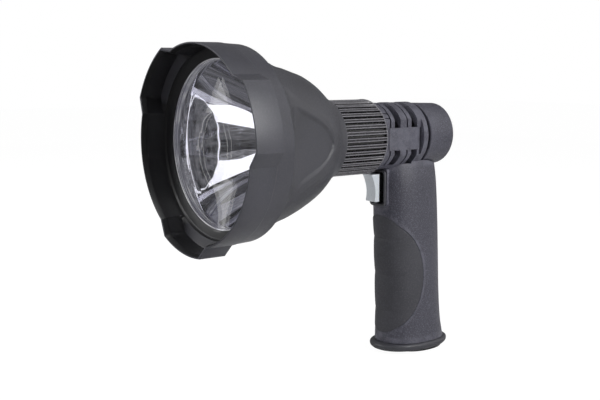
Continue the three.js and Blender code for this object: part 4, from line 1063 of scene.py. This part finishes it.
def makeBaseCap():
    b = base
    foot = (b["footMiddle"], b["footHalfLength"] + 0.3, b["footHalfWidth"] + 0.3)
    rings = [(b["footTop"] + 0.3, *foot), (b["underside"], *foot)]
    for rise, width in smoothRun(list(zip(b["rise"], b["width"])), 5):
        rings.append((b["underside"] + (b["top"] - b["underside"]) * rise, b["middle"],
                      b["halfLength"] * width, b["halfWidth"] * width))
    outer = gripRing(b["plugInTop"], b["plugInset"])
    inner = gripRing(b["plugInTop"], b["plugInset"] + b["plugInWall"])
    rings += [(b["top"], *outer[1:]), outer, inner, (b["floor"], *inner[1:])]
    piece = stackedPiece("base_flange", rings, 128, b["squareness"])
    half, long = b["socket"]
    hole = blockPiece("portHole", (-half, half), (b["port"] - long, b["port"] + long), (-148, -140))
    cut(piece, hole)
    fit(piece, 35, "handle", "casing", "casing", "base_cap")


def makeFoot():
    b = base
    bottom = b["footBottom"]
    rings = [(height, b["footMiddle"], b["footHalfLength"] * share, b["footHalfWidth"] * share)
             for height, share in ((bottom, 0.93), (bottom + 0.25, 0.965), (bottom + 0.8, 0.99),
                                   (bottom + 1.5, 1), (b["footTop"], 1))]
    piece = stackedPiece("foot_bumper", rings, 96, b["squareness"])
    hole = rodPiece("plugHole", b["portRadius"] + 0.3, (-152, -144), depth=b["port"], way="up")
    cut(piece, hole)
    fit(piece, 35, "handle", "rubber", "rubber", "foot_pad")


def makePortPlug():
    b = base
    radius, bottom, top, middle = b["portRadius"], b["portBottom"], b["portTop"], b["port"]
    rounded = roundCorners([(radius * 0.5, bottom), (radius, bottom), (radius, top), (radius * 0.5, top)],
                           0.5, 3, False)
    piece = turnedPiece("port_cover", [(0, bottom)] + rounded + [(0, top)], 64, middle)
    half, long, rise = b["stem"]
    stem = blockPiece("stem", (-half, half), (middle - long, middle + long), (top - 0.5, top + rise))
    combine(piece, stem, "UNION")
    softenEdges(piece, 0.15, 2, 60)
    fit(piece, 35, "port_plug", "rubber", "rubber", "port_plug")


makeBaseCap()
makeFoot()
makePortPlug()
print("base: made")


# Dimmer knob and seal
knob = {
    "front": 174.2, "end": 197.2, "radius": 21.5, "endRadius": 20.9, "wall": 2.2, "round": 2.4,
    "hub": 5.5, "hubFront": 175, "shaft": 2.8, "shaftEnd": 190.3, "roundSteps": 8,
    "edge": 0.4, "sealInner": 14.5, "sealOuter": 19.6, "sealFront": 171.3, "sealThickness": 2.4,
}


def makeKnob():
    k = knob
    radius, wall, front, end = k["radius"], k["wall"], k["front"], k["end"]
    outline = [(0, k["shaftEnd"]), (k["shaft"], k["shaftEnd"]), (k["shaft"], k["hubFront"]),
               (k["hub"], k["hubFront"]), (k["hub"], end - wall), (radius - wall, end - wall),
               (radius - wall, front), (radius - k["edge"], front), (radius, front + k["edge"])]
    for step in range(k["roundSteps"] + 1):
        turn = math.radians(90 * step / k["roundSteps"])
        outline.append((k["endRadius"] - k["round"] * (1 - math.cos(turn)),
                        end - k["round"] * (1 - math.sin(turn))))
    outline.append((0, end))
    piece = turnedPiece("dimmer_cap", outline, 144)
    fit(piece, 35, "dimmer", "casing", "grained", "dimmer_knob")


def makeKnobSeal():
    k = knob
    back = k["sealFront"] + k["sealThickness"]
    outline = [(k["sealInner"], k["sealFront"]), (k["sealOuter"], k["sealFront"]),
               (k["sealOuter"], back), (k["sealInner"], back)]
    piece = turnedPiece("knob_gasket", roundCorners(outline, 0.5), 96)
    fit(piece, 32, "handle", "rubber", "rubber", "knob_seal")


makeKnob()
makeKnobSeal()
print("knob: made")


# Shell screws
def makeShellScrews():
    s = screws
    for k, (depth, height) in enumerate(zip(s["depths"], s["heights"]), 1):
        headEnd = s["seat"] - s["headHeight"]
        piece = rodPiece(f"case_screw_{k}", s["head"], (headEnd, s["seat"]), depth, height)
        shank = rodPiece("shank", s["shank"], (s["seat"] - 0.5, s["seat"] + s["length"]), depth, height)
        combine(piece, shank, "UNION")
        for wide, tall in (s["cross"], s["cross"][::-1]):
            cross = blockPiece("cross", (headEnd - 1, headEnd + s["crossDepth"]),
                               (depth - wide, depth + wide), (height - tall, height + tall))
            cut(piece, cross)
        softenEdges(piece, 0.15, 2, 50)
        fit(piece, 32, "handle", "steel", "steel", f"shell_screw_{k}")


makeShellScrews()
print("screws: made")


# The inner pieces keep their CAD shape and get their own finish
innerFinishes = {
    "casing": ("switch_body", "cell_spacer_1", "cell_spacer_2"),
    "rubber": ("head_seal",),
    "alloy": ("led_carrier",),
    "steel": ("cam_pin", "head_screw_1", "head_screw_2", "head_screw_3", "trigger_pin", "trigger_spring",
              "contact_spring_1", "contact_spring_2", "cell_link", "charge_socket", "dimmer_nut",
              "dimmer_shaft"),
    "whitePlastic": ("led_board", "led_ring", "link_holder", "switch_plunger"),
    "circuit": ("driver_board", "charge_board", "dimmer_body"),
    "emitter": ("led_emitter",),
    "cellWrap": ("cell_1", "cell_2", "driver_capacitor", "driver_choke"),
}
for finish, names in innerFinishes.items():
    for name in names:
        cadNodes[name].data.materials.clear()
        cadNodes[name].data.materials.append(finishes[finish])
print("inner pieces: finished")


# Floor, world, lights and the cards that the chrome mirrors
studio = {"floorSize": 8, "floorTone": 0.86, "floorGlow": 0.85, "glowPower": 1.13, "worldTone": 0.16}


def makeFloor():
    bpy.ops.mesh.primitive_plane_add(size=studio["floorSize"])
    floor = bpy.context.object
    floor.name = "floor"
    finish, tree, shader, place = newFinish("floorPaper", 0.9)
    tone = studio["floorTone"]
    paper = addRamp(tree, addNoise(tree, place, 3, 2), [(0.4, tone), (0.6, tone + 0.02)])
    tree.links.new(paper, shader.inputs["Base Color"])
    glow = tree.nodes.new("ShaderNodeEmission")
    glow.inputs["Strength"].default_value = studio["glowPower"]
    seen = tree.nodes.new("ShaderNodeLightPath").outputs["Is Camera Ray"]
    mix = tree.nodes.new("ShaderNodeMixShader")
    tree.links.new(addMaths(tree, "MULTIPLY", seen, studio["floorGlow"]), mix.inputs[0])
    tree.links.new(shader.outputs[0], mix.inputs[1])
    tree.links.new(glow.outputs[0], mix.inputs[2])
    tree.links.new(mix.outputs[0], tree.nodes["Material Output"].inputs["Surface"])
    floor.data.materials.append(finish)


def makeWorld():
    world = bpy.data.worlds.new("studio")
    bpy.context.scene.world = world
    world.use_nodes = True
    tree = world.node_tree
    tree.nodes.clear()
    path = tree.nodes.new("ShaderNodeLightPath").outputs
    seen = addMaths(tree, "MAXIMUM", path["Is Camera Ray"], path["Is Glossy Ray"])
    seen = addMaths(tree, "MAXIMUM", seen, path["Is Transmission Ray"])
    mix = tree.nodes.new("ShaderNodeMixShader")
    tree.links.new(seen, mix.inputs[0])
    for socket, tone in zip(mix.inputs[1:], (studio["worldTone"], 1)):      # what lights, what is seen
        background = tree.nodes.new("ShaderNodeBackground")
        background.inputs["Color"].default_value = (tone, tone, tone, 1)
        tree.links.new(background.outputs[0], socket)
    out = tree.nodes.new("ShaderNodeOutputWorld")
    tree.links.new(mix.outputs[0], out.inputs["Surface"])


lamps = {
    "keyPanel": {"spot": (1.15, 0.15, 0.75), "size": (0.7, 0.7), "power": 11},
    "topPanel": {"spot": (0.1, -0.75, 1.1), "size": (0.5, 0.5), "power": 3.5},
    "fillPanel": {"spot": (-0.7, -1.1, 0.7), "size": (0.9, 0.7), "power": 8},
}


def makeLamps():
    aim = at(0, 100, -30)
    for name, look in lamps.items():
        bpy.ops.object.light_add(type="AREA", location=look["spot"])
        light = bpy.context.object
        light.name = name
        light.data.shape = "RECTANGLE"
        light.data.size, light.data.size_y = look["size"]
        light.data.energy = look["power"]
        light.visible_transmission = False
        light.rotation_euler = (aim - Vector(look["spot"])).to_track_quat("-Z", "Y").to_euler()


# Table and walls of the room in millimetres: limits of each face across, in depth and in height
cards = {
    "darkTable": {"tone": (0.03, 0.25), "scale": (5, 30, 5), "faces": [
        ((-1900, 1900), (-1900, 60), (-149.6,))]},
    "darkWall": {"tone": (0.01, 0.12), "scale": (2, 2, 14), "faces": [
        ((-1900, 1900), (-1900,), (-149, 700)), ((1900,), (-1900, -60), (-149, 700))]},
    "greyWall": {"tone": (0.12, 0.4), "scale": (2, 2, 9), "faces": [
        ((-1900, 1900), (-1900,), (700, 2200)), ((1900,), (-1900, -60), (700, 2200)),
        ((-1900, 1900), (-1900, -60), (2200,))]},
    "leftWall": {"tone": (0.16, 0.3), "scale": (1, 1, 1), "faces": [
        ((-1900,), (-1900, 1900), (-149, 2200)), ((-1900, -100), (1900,), (-149, 2200)),
        ((-1900, -100), (-60, 1900), (2200,))]},
}
# What the chrome mirrors of the room, laid just in front of the glass: x and height in millimetres
mirrored = {
    "depth": 16.9, "glow": 1.7, "lineWidth": 0.4,
    "floorGlow": [(-10, -26), (-6, -33), (-4, -42), (-5, -52), (2, -52), (5, -41), (8, -35), (10, -30),
                  (12, -26), (12, -22), (7, -20), (3, -18), (-3, -24)],
    "windowGlow": [(4, 13), (8, 18), (8, 24), (5, 30), (-2, 40), (-9, 30), (-17, 18), (-9, 19), (-3, 18),
                   (1, 14)],
    "arc": [(-23, -12), (-24, -4), (-25, -1), (-27, -3), (-27, -5), (-26, -4), (-23, 6)],
    "loopCentre": (-8.2, -3.3), "loopReach": (15.2, 22.1), "loopTurn": (-158, 155), "loopSteps": 48,
    "loopWaves": 9, "waveShare": 0.02, "shade": (0.0, 0.2), "shadeScale": (220, 150, 220),
}


def wallFace(x, depth, height):      # corners of the rectangle between the limits
    corners = list(itertools.product(x, depth, height))
    return corners[:2] + corners[:1:-1]


def makeCard(name, tone, faces, scale=(1, 1, 1), oneSided=False):
    clearSelection()
    bpy.ops.mesh.primitive_plane_add(size=mm)
    card = startPiece(name)
    mesh = bmesh.new()
    for face in faces:
        mesh.faces.new([mesh.verts.new(at(*spot)) for spot in face])
    mesh.to_mesh(card.data)
    mesh.free()
    finish = bpy.data.materials.new(name)
    finish.use_nodes = True
    tree = finish.node_tree
    tree.nodes.remove(tree.nodes["Principled BSDF"])
    glow = tree.nodes.new("ShaderNodeEmission")
    place = tree.nodes.new("ShaderNodeTexCoord").outputs["Object"]
    drift = addNoise(tree, place, 1, 4, scale)
    tree.links.new(addRamp(tree, drift, [(0.35, tone[0]), (0.65, tone[1])]), glow.inputs["Color"])
    shown = glow.outputs[0]
    if oneSided:
        mix = tree.nodes.new("ShaderNodeMixShader")
        tree.links.new(tree.nodes.new("ShaderNodeNewGeometry").outputs["Backfacing"], mix.inputs[0])
        tree.links.new(shown, mix.inputs[1])
        tree.links.new(tree.nodes.new("ShaderNodeBsdfTransparent").outputs[0], mix.inputs[2])
        shown = mix.outputs[0]
    tree.links.new(shown, tree.nodes["Material Output"].inputs["Surface"])
    card.data.materials.append(finish)
    card.visible_camera = card.visible_diffuse = card.visible_shadow = False


def makeCards():
    for name, look in cards.items():
        makeCard(name, look["tone"], [wallFace(*face) for face in look["faces"]], look["scale"])
    m = mirrored
    bright = (m["glow"], m["glow"])
    for name in ("floorGlow", "windowGlow"):
        makeCard(name, bright, [facingMirror(m[name])], oneSided=True)
    makeCard("loopShade", m["shade"], [facingMirror(loopSpots(), 0.1)], m["shadeScale"], oneSided=True)
    makeCard("loopGlow", bright, stripFaces(loopSpots()), oneSided=True)
    makeCard("arcGlow", bright, stripFaces(m["arc"]), oneSided=True)


def loopSpots():      # wavy oval round the mirrored emitter, open towards the rim
    m = mirrored
    (x, height), (halfWidth, halfHeight), (first, last) = m["loopCentre"], m["loopReach"], m["loopTurn"]
    spots = []
    for k in range(m["loopSteps"] + 1):
        angle = math.radians(first + (last - first) * k / m["loopSteps"])
        swell = 1 + m["waveShare"] * math.sin(m["loopWaves"] * angle)
        spots.append((x + halfWidth * swell * math.cos(angle), height + halfHeight * swell * math.sin(angle)))
    return spots


def stripFaces(spots):
    faces = []
    for near, far in zip(spots, spots[1:]):
        share = mirrored["lineWidth"] / math.dist(near, far)
        side = ((near[1] - far[1]) * share, (far[0] - near[0]) * share)
        faces.append(facingMirror([(spot[0] + way * side[0], spot[1] + way * side[1])
                                   for spot, way in ((near, -1), (far, -1), (far, 1), (near, 1))], 0.2))
    return faces


def facingMirror(spots, back=0):      # corner order that makes the face look back at the bowl
    corners = [(x, mirrored["depth"] + back, height) for x, height in spots]
    area = sum(a[0] * b[2] - b[0] * a[2] for a, b in zip(corners, corners[1:] + corners[:1]))
    return corners if area < 0 else corners[::-1]


makeCards()
makeFloor()
makeWorld()
makeLamps()
bpy.context.scene.view_settings.view_transform = "Standard"
print("studio: lit")
